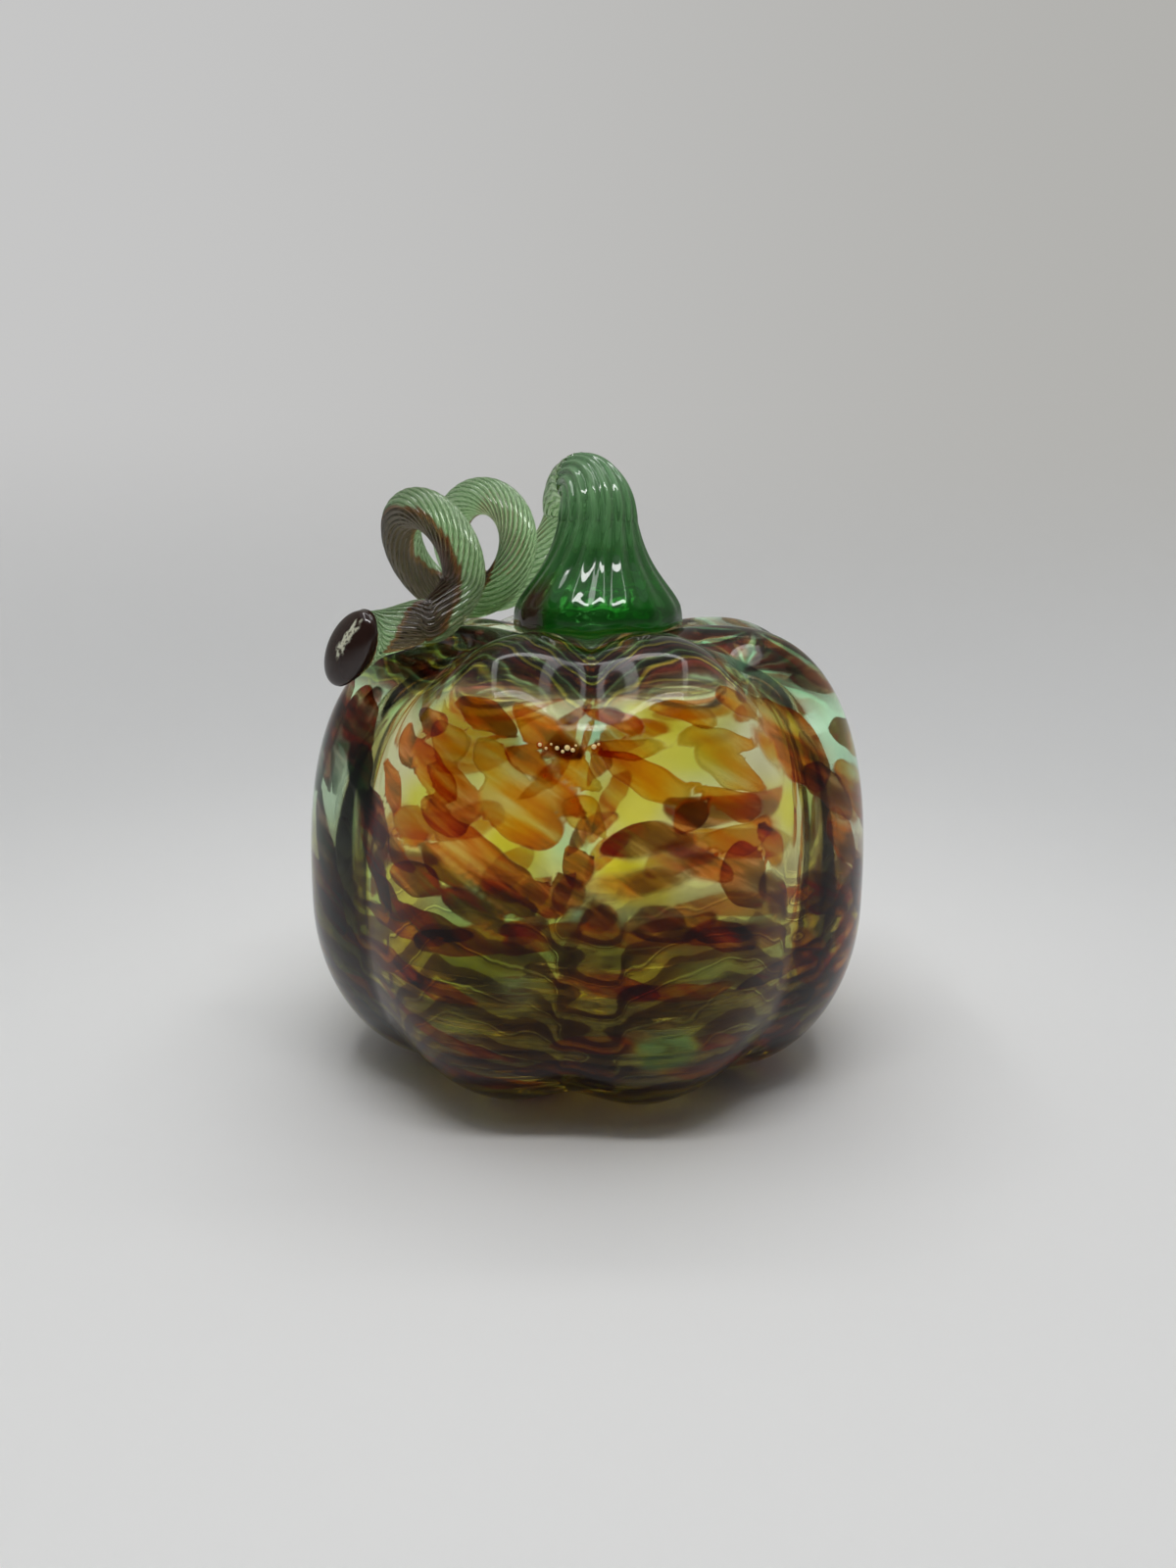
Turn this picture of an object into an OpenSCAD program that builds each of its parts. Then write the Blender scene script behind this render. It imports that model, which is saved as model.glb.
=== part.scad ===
// Blown glass pumpkin ornament: a hollow lobed body with coloured chips melted flush into its wall,
// a bell-shaped stem that seals the neck, and a looped vine drawn from the stem's tip.
// Millimetres, +Z up, origin on the standing surface under the middle of the body, front towards -Y.

/* [Body] */
// Width of the body across two opposite lobes
body_d = 127; // [110:1:150]
// Height of the lobes' tops
body_h = 98; // [88:1:112]
// Height of the widest level
waist_h = 39; // [32:1:46]
// Number of lobes
lobe_count = 8; // [6:1:10]
// Depth of the creases between the lobes
crease_depth = 3.4; // [1.5:0.1:5]
// Angle by which the creases lean round the body from foot to top, in degrees
crease_lean = 5.5; // [0:0.5:10]
// Radius of the circle that the lobes stand on
foot_circle_r = 31; // [26:0.5:36]
// Radius of the circle of the lobes' tops
crown_r = 30; // [27:0.5:34]
// Roundness of the shoulder: 2 is an ellipse and more is squarer
shoulder_power = 2.6; // [2.2:0.1:3]

/* [Wall] */
// Thickness of the wall at the widest level
wall_t = 5; // [3:0.25:7]
// Thickness of the floor
floor_t = 7; // [5:0.25:9]
// Thickness of the crown round the neck
crown_t = 8; // [6:0.25:10]
// Share of the creases' depth that shows on the inside
inner_crease_share = 0.6; // [0:0.05:1]
// Height of the hollow under the middle of the base
base_hollow = 4; // [2:0.25:6]
// Height of the flat worn on each lobe's foot
foot_flat = 1; // [0.7:0.05:1.5]

/* [Neck] */
// Radius of the hole that the blowpipe left in the crown
neck_r = 10; // [7:0.5:13]
// Depth of the neck's rim below the lobes' tops
crown_dip = 4.5; // [3:0.25:8]

/* [Colour chips] */
// Depth that the chips are melted into the wall
chip_t = 1.2; // [0.6:0.1:2]
// Share of the chip places that hold a chip, in percent
chip_cover = 52; // [20:1:80]

/* [Stem] */
// Radius of the stem's foot
stem_foot_r = 19; // [16:0.5:21]
// Radius of the stem where it starts to bend
stem_top_r = 6.3; // [5.5:0.1:7.5]
// Height of the top of the bend above the lobes' tops
stem_h = 37; // [33:0.5:44]
// Height above its foot at which the bell has half its flare
flare_h = 11; // [8:0.5:12]
// Sideways offset of the stem from the middle of the body
stem_x = 2.2; // [0:0.1:4]
// Radius of the centre line of the bend
bend_r = 9; // [9:0.1:11]
// Direction of the bend in plan, in degrees anticlockwise from the right
bend_angle = 114; // [105:1:125]
// Length of the plug that fills the neck
plug_l = 6; // [3:0.25:8]
// Clearance of the stem on the body
seat_gap = 0.3; // [0.2:0.05:0.5]

/* [Vine] */
// Diameter of the vine where it leaves the stem's bend
vine_d = 8; // [7:0.1:9.6]
// Diameter of the vine at its end
vine_end_d = 9; // [7.5:0.1:11]
// Radius of the first loop's centre line
coil_r = 10.8; // [9.5:0.1:12.5]
// Amount by which each loop's radius is less than the last
coil_shrink = 1.5; // [1:0.1:2.5]
// Distance by which each loop lies to the left of the last
coil_step = 8.9; // [7:0.1:12]
// Distance by which each loop lies in front of the last
coil_advance = 18; // [15:0.5:22]
// Angle at which the loops are turned away from the front, in degrees
coil_turn = 20; // [10:1:30]
// Angle by which the last loop leans to the left, in degrees
coil_lean = 24; // [0:1:30]
// Height of the loops above the lobes' tops
coil_lift = 0.6; // [0.5:0.1:3]
// Clearance between the vine and the stem or the shoulder
vine_gap = 0.6; // [0.5:0.1:2]
// Direction of the vine's end round the body, in degrees clockwise from the front
tail_angle = 58; // [54:1:62]
// Depth of the dark streak in the vine
streak_t = 1.6; // [0.8:0.1:2.4]

/* [Hidden] */

// Body: rows of the crest's profile, from the middle of the base out, up and in to the neck
lobe_cols = 8;
cols = lobe_count * lobe_cols;
side_rows = 20;
base_shares = [0.45, 0.85];
crown_shares = [0.25, 0.5, 0.75, 1];
foot_power = 2.07;
lobe_power = 0.7;
foot_row = len(base_shares);
crown_row = foot_row + side_rows;
rows = crown_row + len(crown_shares) + 1;
top_lean = crease_lean / 6;

function unit(v) = v / norm(v);
function lobe_dip(a) = 1 - pow((1 - cos(lobe_count * a)) / 2, lobe_power);
function lean(z) = top_lean - crease_lean * (1 - z / body_h);
function curve(x, power) = sign(x) * pow(abs(x), 2 / power);

// Point of the side's profile at an angle from the widest level, -90 at the foot and 90 at the top
function side(a) =
    let (low = a < 0)
    let (power = low ? foot_power : shoulder_power)
    let (inner = low ? foot_circle_r : crown_r)
    let (rise = low ? waist_h + foot_flat : body_h - waist_h)
    [inner + (body_d / 2 - inner) * curve(cos(a), power), waist_h + rise * curve(sin(a), power)];

function side_out(a) =
    let (step = 0.5)
    let (d = side(min(a + step, 90)) - side(max(a - step, -90)))
    unit([d[1], -d[0]]);

function side_wall(a) = wall_t + ((a < 0 ? floor_t : crown_t) - wall_t) * pow(sin(a), 2);

// Height of the crest and share of the crease's depth on the crown, by distance from the middle
function crown_share(r) = max(0, min(1, (crown_r - r) / (crown_r - neck_r)));
function crown_crest(r) = body_h - crown_dip * pow(crown_share(r), 2);
function crown_lobe(r) = pow(1 - crown_share(r), 2);

// One row of the profile: radius, height, outward direction, share of the crease's depth, wall thickness
function base_row(s) = [
    foot_circle_r * s,
    base_hollow * pow(1 - s * s, 2) - foot_flat,
    [0, -1],
    s * s,
    floor_t
];
function side_row(a) = [side(a)[0], side(a)[1], side_out(a), 1, side_wall(a)];
function crown_row_at(s) =
    let (r = crown_r + (neck_r - crown_r) * s)
    [r, crown_crest(r), [0, 1], crown_lobe(r), crown_t];

profile = concat(
    [for (s = base_shares) base_row(s)],
    [for (j = [0 : side_rows]) side_row(-90 + 180 * j / side_rows)],
    [for (s = crown_shares) crown_row_at(s)]
);

// Point of the wall: column and row, depth below the surface and share of the creases' depth there
function wall_point(i, j, depth, share) =
    let (row = profile[j])
    let (a = 360 * i / cols)
    let (off = depth + share * crease_depth * lobe_dip(a) * row[3])
    let (r = row[0] - off * row[2][0])
    let (z = row[1] - off * row[2][1])
    let (around = a - 90 + lean(row[1]))
    [r * cos(around), r * sin(around), z];

function on_floor(p) = [p[0], p[1], max(p[2], 0)];
function outer_point(i, j, depth) = on_floor(wall_point(i, j, depth, 1));
function inner_point(i, j) = wall_point(i, j, profile[j][4], inner_crease_share);

// Chips: each place is a leaning block of two columns by two rows, staggered from one band to the next
chip_span = 2;
chip_spread = [0.618, 0.414];
chip_scatter = [127.1, 311.7, 91];
scatter_size = 437.58;
chip_loose = 0.3;
chip_first_row = foot_row + 2;
chip_bands = 8;
function wrap(i) = (i % cols + cols) % cols;
function chip_stagger(v) = v % 2;
function chip_top_row(v) = chip_first_row + chip_span * (v + 1);
function chip_col(u, v) = chip_span * u - chip_span * v + chip_stagger(v);
function part_of_one(x) = x - floor(x);
function chip_lot(u, v, seed) =
    let (even = u * chip_spread[0] + v * chip_spread[1] + seed)
    let (loose = part_of_one(sin([u, v, seed] * chip_scatter) * scatter_size))
    part_of_one(even + chip_loose * loose);
function chip_places() = [for (v = [0 : chip_bands - 1]) for (u = [0 : cols / chip_span - 1]) [u, v]];

// Colour of a place: amber, maroon, yellow, aqua or none, with the colours' shares of the chips added up
COLOURS = ["amber", "maroon", "yellow", "aqua"];
colour_shares = [0.46, 0.72, 0.87, 1];
cover_seed = 0.1;
colour_seed = 0.37;
function chip_colour(u, v) =
    let (place = wrap(chip_span * u) / chip_span)
    let (lot = chip_lot(3 * place + v, 2 * v + place, colour_seed))
    chip_lot(place, v, cover_seed) * 100 < chip_cover
        ? [for (k = [0 : len(COLOURS) - 1]) if (lot < colour_shares[k]) COLOURS[k]][0]
        : undef;

// Grid corner of a chip, with a across and b down its lean
function chip_corner(u, v, a, b) = [wrap(chip_col(u, v) + a + b), chip_top_row(v) - b];
function chip_rim(u, v) = concat(
    [for (b = [0 : chip_span - 1]) chip_corner(u, v, 0, b)],
    [for (a = [0 : chip_span - 1]) chip_corner(u, v, a, chip_span)],
    [for (b = [chip_span : -1 : 1]) chip_corner(u, v, chip_span, b)],
    [for (a = [chip_span : -1 : 1]) chip_corner(u, v, a, 0)]
);
function chip_cells() = [for (b = [0 : chip_span - 1]) for (a = [0 : chip_span - 1]) [a, b]];
function chip_triangles(u, v) = [
    for (c = chip_cells())
        for (half = [[[0, 0], [1, 0], [0, 1]], [[1, 0], [1, 1], [0, 1]]])
            [for (q = half) chip_corner(u, v, c[0] + q[0], c[1] + q[1])]
];

// Place that a triangle of the grid belongs to: lower-left or upper-right half of the cell i, j
function place_of(i, j, upper) =
    let (band = floor((j - chip_first_row) / chip_span))
    let (down = chip_top_row(band) - 1 - j)
    let (shift = i - down + chip_span * band - chip_stagger(band) - (upper ? 0 : 1))
    [floor(shift / chip_span), band];
function in_chip_rows(j) = j >= chip_first_row && j < chip_first_row + chip_span * chip_bands;
function colour_at(i, j, upper) =
    let (p = place_of(i, j, upper))
    in_chip_rows(j) ? chip_colour(p[0], p[1]) : undef;

// Body mesh: points of the surface, of the chips' pockets and of the inside, then the two poles
grid_points = rows * cols;
function surface_id(c) = c[1] * cols + wrap(c[0]);
function pocket_id(c) = grid_points + surface_id(c);
function inside_id(c) = 2 * grid_points + surface_id(c);
base_pole = 3 * grid_points;
floor_pole = base_pole + 1;

function half_cells() = [
    for (j = [0 : rows - 2])
        for (i = [0 : cols - 1])
            for (upper = [false, true])
                [i, j, upper]
];
function half_corners(h) =
    let (i = h[0], j = h[1])
    h[2] ? [[i + 1, j], [i, j + 1], [i + 1, j + 1]] : [[i, j], [i, j + 1], [i + 1, j]];

// Sides of a chip's pocket along the edges that no other chip shares
function edge_is_free(p, q, u, v) =
    let (level = p[1] == q[1])
    let (up = level && p[1] == chip_top_row(v))
    let (left_end = wrap(q[0] - p[0]) == 1 ? p[0] : q[0])
    let (row = level ? (up ? p[1] : p[1] - 1) : min(p[1], q[1]))
    let (goes_left = !level && q[1] < p[1])
    let (other = level ? colour_at(left_end, row, !up) : colour_at(left_end, row, !goes_left))
    is_undef(other);
function pocket_sides() = [
    for (c = chip_places())
        if (!is_undef(chip_colour(c[0], c[1])))
            let (rim = chip_rim(c[0], c[1]), n = len(rim))
                for (k = [0 : n - 1])
                    let (p = rim[k], q = rim[(k + 1) % n])
                        if (edge_is_free(p, q, c[0], c[1]))
                            each pocket_edge(p, q)
];
function pocket_edge(p, q) =
    let (s = surface_id(p), t = surface_id(q))
    let (sp = pocket_id(p), tp = pocket_id(q))
    s < t ? [[s, tp, t], [s, sp, tp]] : [[s, sp, t], [t, sp, tp]];

module body() {
    points = concat(
        [for (j = [0 : rows - 1]) for (i = [0 : cols - 1]) outer_point(i, j, 0)],
        [for (j = [0 : rows - 1]) for (i = [0 : cols - 1]) outer_point(i, j, chip_t)],
        [for (j = [0 : rows - 1]) for (i = [0 : cols - 1]) inner_point(i, j)],
        [[0, 0, base_hollow - foot_flat], [0, 0, base_hollow - foot_flat + floor_t]]
    );
    outside = [
        for (h = half_cells())
            let (sunk = !is_undef(colour_at(h[0], h[1], h[2])))
                [for (c = half_corners(h)) sunk ? pocket_id(c) : surface_id(c)]
    ];
    inside = [for (h = half_cells()) let (c = half_corners(h)) [for (k = [2 : -1 : 0]) inside_id(c[k])]];
    neck = [
        for (i = [0 : cols - 1])
            let (p = [i, rows - 1], q = [i + 1, rows - 1])
                each [
                    [surface_id(p), inside_id(p), surface_id(q)],
                    [surface_id(q), inside_id(p), inside_id(q)]
                ]
    ];
    base = [for (i = [0 : cols - 1]) [base_pole, surface_id([i, 0]), surface_id([i + 1, 0])]];
    floor_middle = [for (i = [0 : cols - 1]) [floor_pole, inside_id([i + 1, 0]), inside_id([i, 0])]];
    faces = concat(outside, pocket_sides(), inside, neck, base, floor_middle);
    color([0.85, 0.92, 0.80, 0.45]) polyhedron(points, faces, convexity = 10);
}

module chip(u, v) {
    rim = chip_rim(u, v);
    n = len(rim);
    middle = chip_corner(u, v, 1, 1);
    grid = concat(rim, [middle]);
    m = len(grid);
    points = concat(
        [for (c = grid) outer_point(c[0], c[1], 0)],
        [for (c = grid) outer_point(c[0], c[1], chip_t)]
    );
    tops = [for (t = chip_triangles(u, v)) [for (c = t) [for (k = [0 : m - 1]) if (grid[k] == c) k][0]]];
    lows = [for (t = tops) [t[2] + m, t[1] + m, t[0] + m]];
    sides = [
        for (k = [0 : n - 1])
            let (l = (k + 1) % n)
                each surface_id(rim[k]) < surface_id(rim[l])
                    ? [[k, l, l + m], [k, l + m, k + m]]
                    : [[k, l, k + m], [l, l + m, k + m]]
    ];
    polyhedron(points, concat(tops, lows, sides), convexity = 4);
}

module chips(colour) {
    for (c = chip_places())
        if (chip_colour(c[0], c[1]) == colour)
            chip(c[0], c[1]);
}

module amber_chips() {
    color([0.80, 0.42, 0.08]) chips("amber");
}

module maroon_chips() {
    color([0.35, 0.07, 0.05]) chips("maroon");
}

module yellow_chips() {
    color([0.92, 0.85, 0.10]) chips("yellow");
}

module aqua_chips() {
    color([0.55, 0.85, 0.70]) chips("aqua");
}

// Stem: rings from the plug out under the foot, up the bell and over the bend to its top
stem_sides = 40;
foot_steps = 3;
bell_steps = 12;
bend_steps = 6;
rim_round = 1.2;
flare_power = 2.2;
neck_z = body_h - crown_dip;
bell_z = body_h + rim_round;
bend_z = body_h + stem_h - stem_top_r - bend_r;
stem_axis = [stem_x, 0, 0];
bend_way = [cos(bend_angle), sin(bend_angle), 0];
loop_front = [-sin(coil_turn), -cos(coil_turn), 0];

function mix(a, b, s) = a + (b - a) * s;
function ease(s) = s * s * (3 - 2 * s);
function ring_at(p, along, r, sides) =
    let (u = unit(loop_front - (loop_front * along) * along))
    let (w = cross(along, u))
    [for (k = [0 : sides - 1]) p + r * (cos(360 * k / sides) * u + sin(360 * k / sides) * w)];

// Height of the body's crown under a point in plan
function crown_top(p) =
    let (r = norm([p[0], p[1]]))
    let (a = atan2(p[1], p[0]) + 90 - top_lean)
    crown_crest(r) - crease_depth * lobe_dip(a) * crown_lobe(r);
function seated(p, lift) = [p[0], p[1], crown_top(p) + seat_gap + lift];

// Radius of the bell at a height, and point and direction of the bend at an angle from upright
function bell_r(z) =
    stem_top_r + (stem_foot_r - stem_top_r) / (1 + pow(max(z - bell_z, 0) / flare_h, flare_power));
function bend_point(b) = stem_axis + [0, 0, bend_z + bend_r * sin(b)] + bend_r * (1 - cos(b)) * bend_way;
function bend_along(b) = cos(b) * [0, 0, 1] + sin(b) * bend_way;
function stem_ring(p, r) = ring_at(p, [0, 0, 1], r, stem_sides);

plug_ring = stem_ring([0, 0, 0], neck_r - seat_gap);
rim_ring = stem_ring(stem_axis, stem_foot_r - rim_round);
function foot_ring(s) = [for (i = [0 : stem_sides - 1]) seated(mix(plug_ring[i], rim_ring[i], s), 0)];
function bend_ring(s) =
    let (b = 90 * s)
    ring_at(bend_point(b), bend_along(b), mix(bell_r(bend_z), stem_top_r, ease(s)), stem_sides);
stem_rings = concat(
    [[for (p = plug_ring) p + [0, 0, neck_z - plug_l]]],
    [for (k = [0 : foot_steps]) foot_ring(k / foot_steps)],
    [[for (p = stem_ring(stem_axis, stem_foot_r)) seated(p, rim_round)]],
    [for (k = [1 : bell_steps])
        let (z = mix(bell_z, bend_z, k / bell_steps))
            stem_ring(stem_axis + [0, 0, z], bell_r(z))],
    [for (k = [1 : bend_steps]) bend_ring(k / bend_steps)]
);

// Faces of a tube made of rings of n points, whose strips from one number on are split the other way,
// and a fan from a middle point at each end
function tube_sides(rings, n, other_way) = [
    for (j = [0 : rings - 2])
        for (k = [0 : n - 1])
            let (a = j * n + k, b = j * n + (k + 1) % n)
                each k < other_way ? [[a, a + n, b + n], [a, b + n, b]] : [[a, a + n, b], [b, a + n, b + n]]
];
function fan_ends(rings, n) = [
    for (k = [0 : n - 1])
        let (l = (k + 1) % n, last = (rings - 1) * n)
            each [[rings * n, k, l], [rings * n + 1, last + l, last + k]]
];
function flat(rings) = [for (ring = rings) each ring];
function middle(ring) = [for (p = ring) 1] * ring / len(ring);

module stem() {
    count = len(stem_rings);
    points = concat(flat(stem_rings), [middle(stem_rings[0]), middle(stem_rings[count - 1])]);
    faces = concat(tube_sides(count, stem_sides, stem_sides), fan_ends(count, stem_sides));
    color([0.10, 0.36, 0.14]) polyhedron(points, faces, convexity = 6);
}

// Vine: it leaves the bend's top, comes down behind the bell, loops to the left and ends on the shoulder
vine_sides = 20;
route_splits = 2;
thinning_points = 8;
turn_points = 5;
coil_first = -75;
coil_last = 585;
coil_angle_step = 30;
limb_heights = [0.6, 0.25];
limb_turn = 14;
tail_route = [[80, 51, 0], [75, 53, 0], [69, 55.5, 0], [63.5, 57.5, 0.09], [57.5, tail_angle, 0.22]];
tail_bedding = 0.8;
tip_rings = 3;
vine_r = vine_d / 2;
end_r = vine_end_d / 2;
thick_r = max(vine_r, end_r);
coil_low = body_h + coil_lift + thick_r;
coil_right = 180;
coil_back_share = 0.065;
coil_width = coil_r * cos(coil_turn);
coil_x = stem_x - vine_gap - thick_r - max([
    for (s = [coil_right : 15 : coil_right + 75])
        bell_r(coil_low + coil_r * (1 + sin(s))) - coil_width * cos(s)
]);
coil_y = coil_back_share * coil_r;

// The loops, by the angle from the first one's left side over its top: each lies further left and in front,
// and the last one's top leans to the left
function coil_point(s) =
    let (turns = (s - coil_right) / 360)
    let (r = coil_r - coil_shrink * turns)
    let (lean = max(turns, 0) * tan(coil_lean))
    [
        coil_x - coil_step * turns - r * (cos(coil_turn) * cos(s) + lean * sin(s)),
        coil_y - coil_advance * turns + r * sin(coil_turn) * cos(s),
        coil_low + r * (1 + sin(s))
    ];
// The limb behind the bell, by its share of the height from the loops' lowest level to the bend
function limb_point(share, k) =
    let (z = mix(coil_low, bend_z, share))
    let (away = max(2 * bend_r, bell_r(z - thick_r / 2) + thick_r + vine_gap))
    let (a = bend_angle + limb_turn * (k + 1))
    stem_axis + [away * cos(a), away * sin(a), z];
// The end on the shoulder, by its level on the side's profile, its angle round the body from the front and
// its rise as a share of its diameter: it beds into the crease and then stands off
function tail_point(level, around, rise) =
    let (bed = tail_bedding * crease_depth * lobe_dip(-around - lean(side(level)[1])))
    let (p = side(level) + (thick_r + vine_gap + rise * vine_end_d - bed) * side_out(level))
    [-p[0] * sin(around), -p[0] * cos(around), p[1]];

route = concat(
    [for (b = [90 : 30 : 180]) bend_point(b)],
    [for (k = [0 : len(limb_heights) - 1]) limb_point(limb_heights[k], k)],
    [for (s = [coil_first : coil_angle_step : coil_last]) coil_point(s)],
    [for (t = tail_route) tail_point(t[0], t[1], t[2])]
);

// Smooth curve through the route's points
function blend(a, b, c, d, s) =
    0.5 * (2 * b + (c - a) * s + (2 * a - 5 * b + 4 * c - d) * s * s + (3 * b - a - 3 * c + d) * s * s * s);
function route_at(k) = route[max(0, min(len(route) - 1, k))];
spine = concat(
    [for (k = [0 : len(route) - 2])
        for (i = [0 : route_splits - 1])
            blend(route_at(k - 1), route_at(k), route_at(k + 1), route_at(k + 2), i / route_splits)],
    [route[len(route) - 1]]
);
spine_count = len(spine);
spine_start = route_splits * thinning_points;
function spine_along(k) = k == 0 ? bend_way : unit(spine[min(k + 1, spine_count - 1)] - spine[k - 1]);
function spine_r(k) =
    k < spine_start
        ? mix(stem_top_r, vine_r, ease(k / spine_start))
        : mix(vine_r, end_r, (k - spine_start) / (spine_count - 1 - spine_start));

// Rounded tip past the last point
tip_way = spine_along(spine_count - 1);
tip_flat = 0.5;
function tip_angle(k) = 90 * k / (tip_rings + tip_flat);
tip_points = [for (k = [1 : tip_rings]) spine[spine_count - 1] + end_r * sin(tip_angle(k)) * tip_way];
vine_rings = concat(
    [for (k = [0 : spine_count - 1]) ring_at(spine[k], spine_along(k), 1, vine_sides)],
    [for (p = tip_points) ring_at(p, tip_way, 1, vine_sides)]
);
vine_middles = concat(spine, tip_points);
vine_radii = concat(
    [for (k = [0 : spine_count - 1]) spine_r(k)],
    [for (k = [1 : tip_rings]) end_r * cos(tip_angle(k))]
);
vine_count = len(vine_rings);

// The dark streak is let into the inner side of the loops, between two of the tube's edges
streak_first = 3;
streak_last = 7;
function skin(j, k) = vine_middles[j] + vine_radii[j] * (vine_rings[j][k % vine_sides] - vine_middles[j]);
function bed(j, k) =
    vine_middles[j] + vine_radii[j] * (1 - streak_t / thick_r) * (vine_rings[j][k] - vine_middles[j]);
function vine_section(j) = concat(
    [for (k = [streak_last : streak_first + vine_sides]) skin(j, k)],
    [for (k = [streak_first + 1 : streak_last - 1]) bed(j, k)]
);
function streak_section(j) = concat(
    [for (k = [streak_first : streak_last]) skin(j, k)],
    [for (k = [streak_last - 1 : -1 : streak_first + 1]) bed(j, k)]
);

// Least distance between two turns of the vine
turn_apart = route_splits * turn_points;
function self_gap() = min([
    for (i = [0 : vine_count - 1 - turn_apart])
        for (j = [i + turn_apart : vine_count - 1])
            norm(vine_middles[i] - vine_middles[j]) - vine_radii[i] - vine_radii[j]
]);

module vine() {
    echo(least_gap_of_the_vine_to_itself = self_gap());
    sections = [for (j = [0 : vine_count - 1]) vine_section(j)];
    n = len(sections[0]);
    points = concat(flat(sections), [vine_middles[0], vine_middles[vine_count - 1]]);
    color([0.55, 0.74, 0.50])
        polyhedron(points, concat(tube_sides(vine_count, n, n), fan_ends(vine_count, n)), convexity = 10);
}

module vine_streak() {
    sections = [for (j = [0 : vine_count - 1]) streak_section(j)];
    n = len(sections[0]);
    last = (vine_count - 1) * n;
    end_triangles = [[0, 1, 7], [7, 1, 6], [1, 2, 6], [2, 3, 6], [3, 5, 6], [3, 4, 5]];
    ends = [for (t = end_triangles) each [t, [last + t[2], last + t[1], last + t[0]]]];
    faces = concat(tube_sides(vine_count, n, streak_last - streak_first), ends);
    color([0.27, 0.14, 0.10]) polyhedron(flat(sections), faces, convexity = 10);
}

body();
amber_chips();
maroon_chips();
yellow_chips();
aqua_chips();
stem();
vine();
vine_streak();
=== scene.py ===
import math

import bpy
import numpy as np
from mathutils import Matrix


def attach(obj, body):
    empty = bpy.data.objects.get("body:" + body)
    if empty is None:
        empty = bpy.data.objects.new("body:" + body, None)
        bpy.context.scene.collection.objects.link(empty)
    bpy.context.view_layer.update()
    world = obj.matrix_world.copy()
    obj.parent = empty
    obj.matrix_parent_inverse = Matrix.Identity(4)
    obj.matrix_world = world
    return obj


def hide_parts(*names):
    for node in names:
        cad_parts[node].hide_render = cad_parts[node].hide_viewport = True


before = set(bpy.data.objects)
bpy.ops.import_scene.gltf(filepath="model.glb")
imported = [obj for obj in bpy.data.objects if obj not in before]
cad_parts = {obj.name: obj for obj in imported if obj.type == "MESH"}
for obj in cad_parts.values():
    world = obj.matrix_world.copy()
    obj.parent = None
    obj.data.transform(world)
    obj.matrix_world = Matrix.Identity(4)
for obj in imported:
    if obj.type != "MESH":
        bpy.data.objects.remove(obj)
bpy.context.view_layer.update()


# Camera: it stands a quarter of a metre in front of the pumpkin, a little above the stem's foot,
# and looks down by 13 degrees through a wide phone lens.
CAMERA_BACK = 0.2561
CAMERA_HEIGHT = 0.1184
CAMERA_DOWN = math.radians(12.74)
LENS_MM = 25.99
SENSOR_MM = 36

bpy.ops.object.camera_add(
    location=(0, -CAMERA_BACK, CAMERA_HEIGHT),
    rotation=(math.pi / 2 - CAMERA_DOWN, 0, 0),
)
camera = bpy.context.object
camera.data.lens = LENS_MM
camera.data.sensor_width = SENSOR_MM
camera.data.clip_start = 0.01
bpy.context.scene.camera = camera


# Floor and surround: a round of matt white board, flat under the pumpkin,
# that sweeps up all round into a wall, so that no edge shows behind the glass.
FLOOR_FLAT_R = 0.30
SWEEP_R = 0.34
WALL_TOP = 0.95
SWEEP_STEPS = 14
BOARD_SIDES = 128
BOARD_COLOUR = (0.87, 0.865, 0.85)
BOARD_GREYER = (0.84, 0.835, 0.82)
BOARD_GRAIN = 6
BOARD_ROUGHNESS = 0.9

bpy.ops.object.select_all(action="DESELECT")
bpy.ops.mesh.primitive_circle_add(vertices=BOARD_SIDES, radius=FLOOR_FLAT_R, fill_type="NGON")
board = bpy.context.object
board.name = "board"
bpy.ops.object.mode_set(mode="EDIT")
bpy.ops.mesh.select_all(action="SELECT")
ring_r, ring_z = FLOOR_FLAT_R, 0.0
sweep = [
    (FLOOR_FLAT_R + SWEEP_R * math.sin(a), SWEEP_R * (1 - math.cos(a)))
    for a in np.linspace(0, math.pi / 2, SWEEP_STEPS + 1)[1:]
]
bpy.ops.mesh.select_mode(type="EDGE")
bpy.ops.mesh.region_to_loop()
for new_r, new_z in sweep + [(FLOOR_FLAT_R + SWEEP_R, WALL_TOP)]:
    bpy.ops.mesh.extrude_edges_move(TRANSFORM_OT_translate={"value": (0, 0, new_z - ring_z)})
    bpy.ops.transform.resize(value=(new_r / ring_r, new_r / ring_r, 1))
    ring_r, ring_z = new_r, new_z
bpy.ops.object.mode_set(mode="OBJECT")
bpy.ops.object.shade_smooth()


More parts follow.
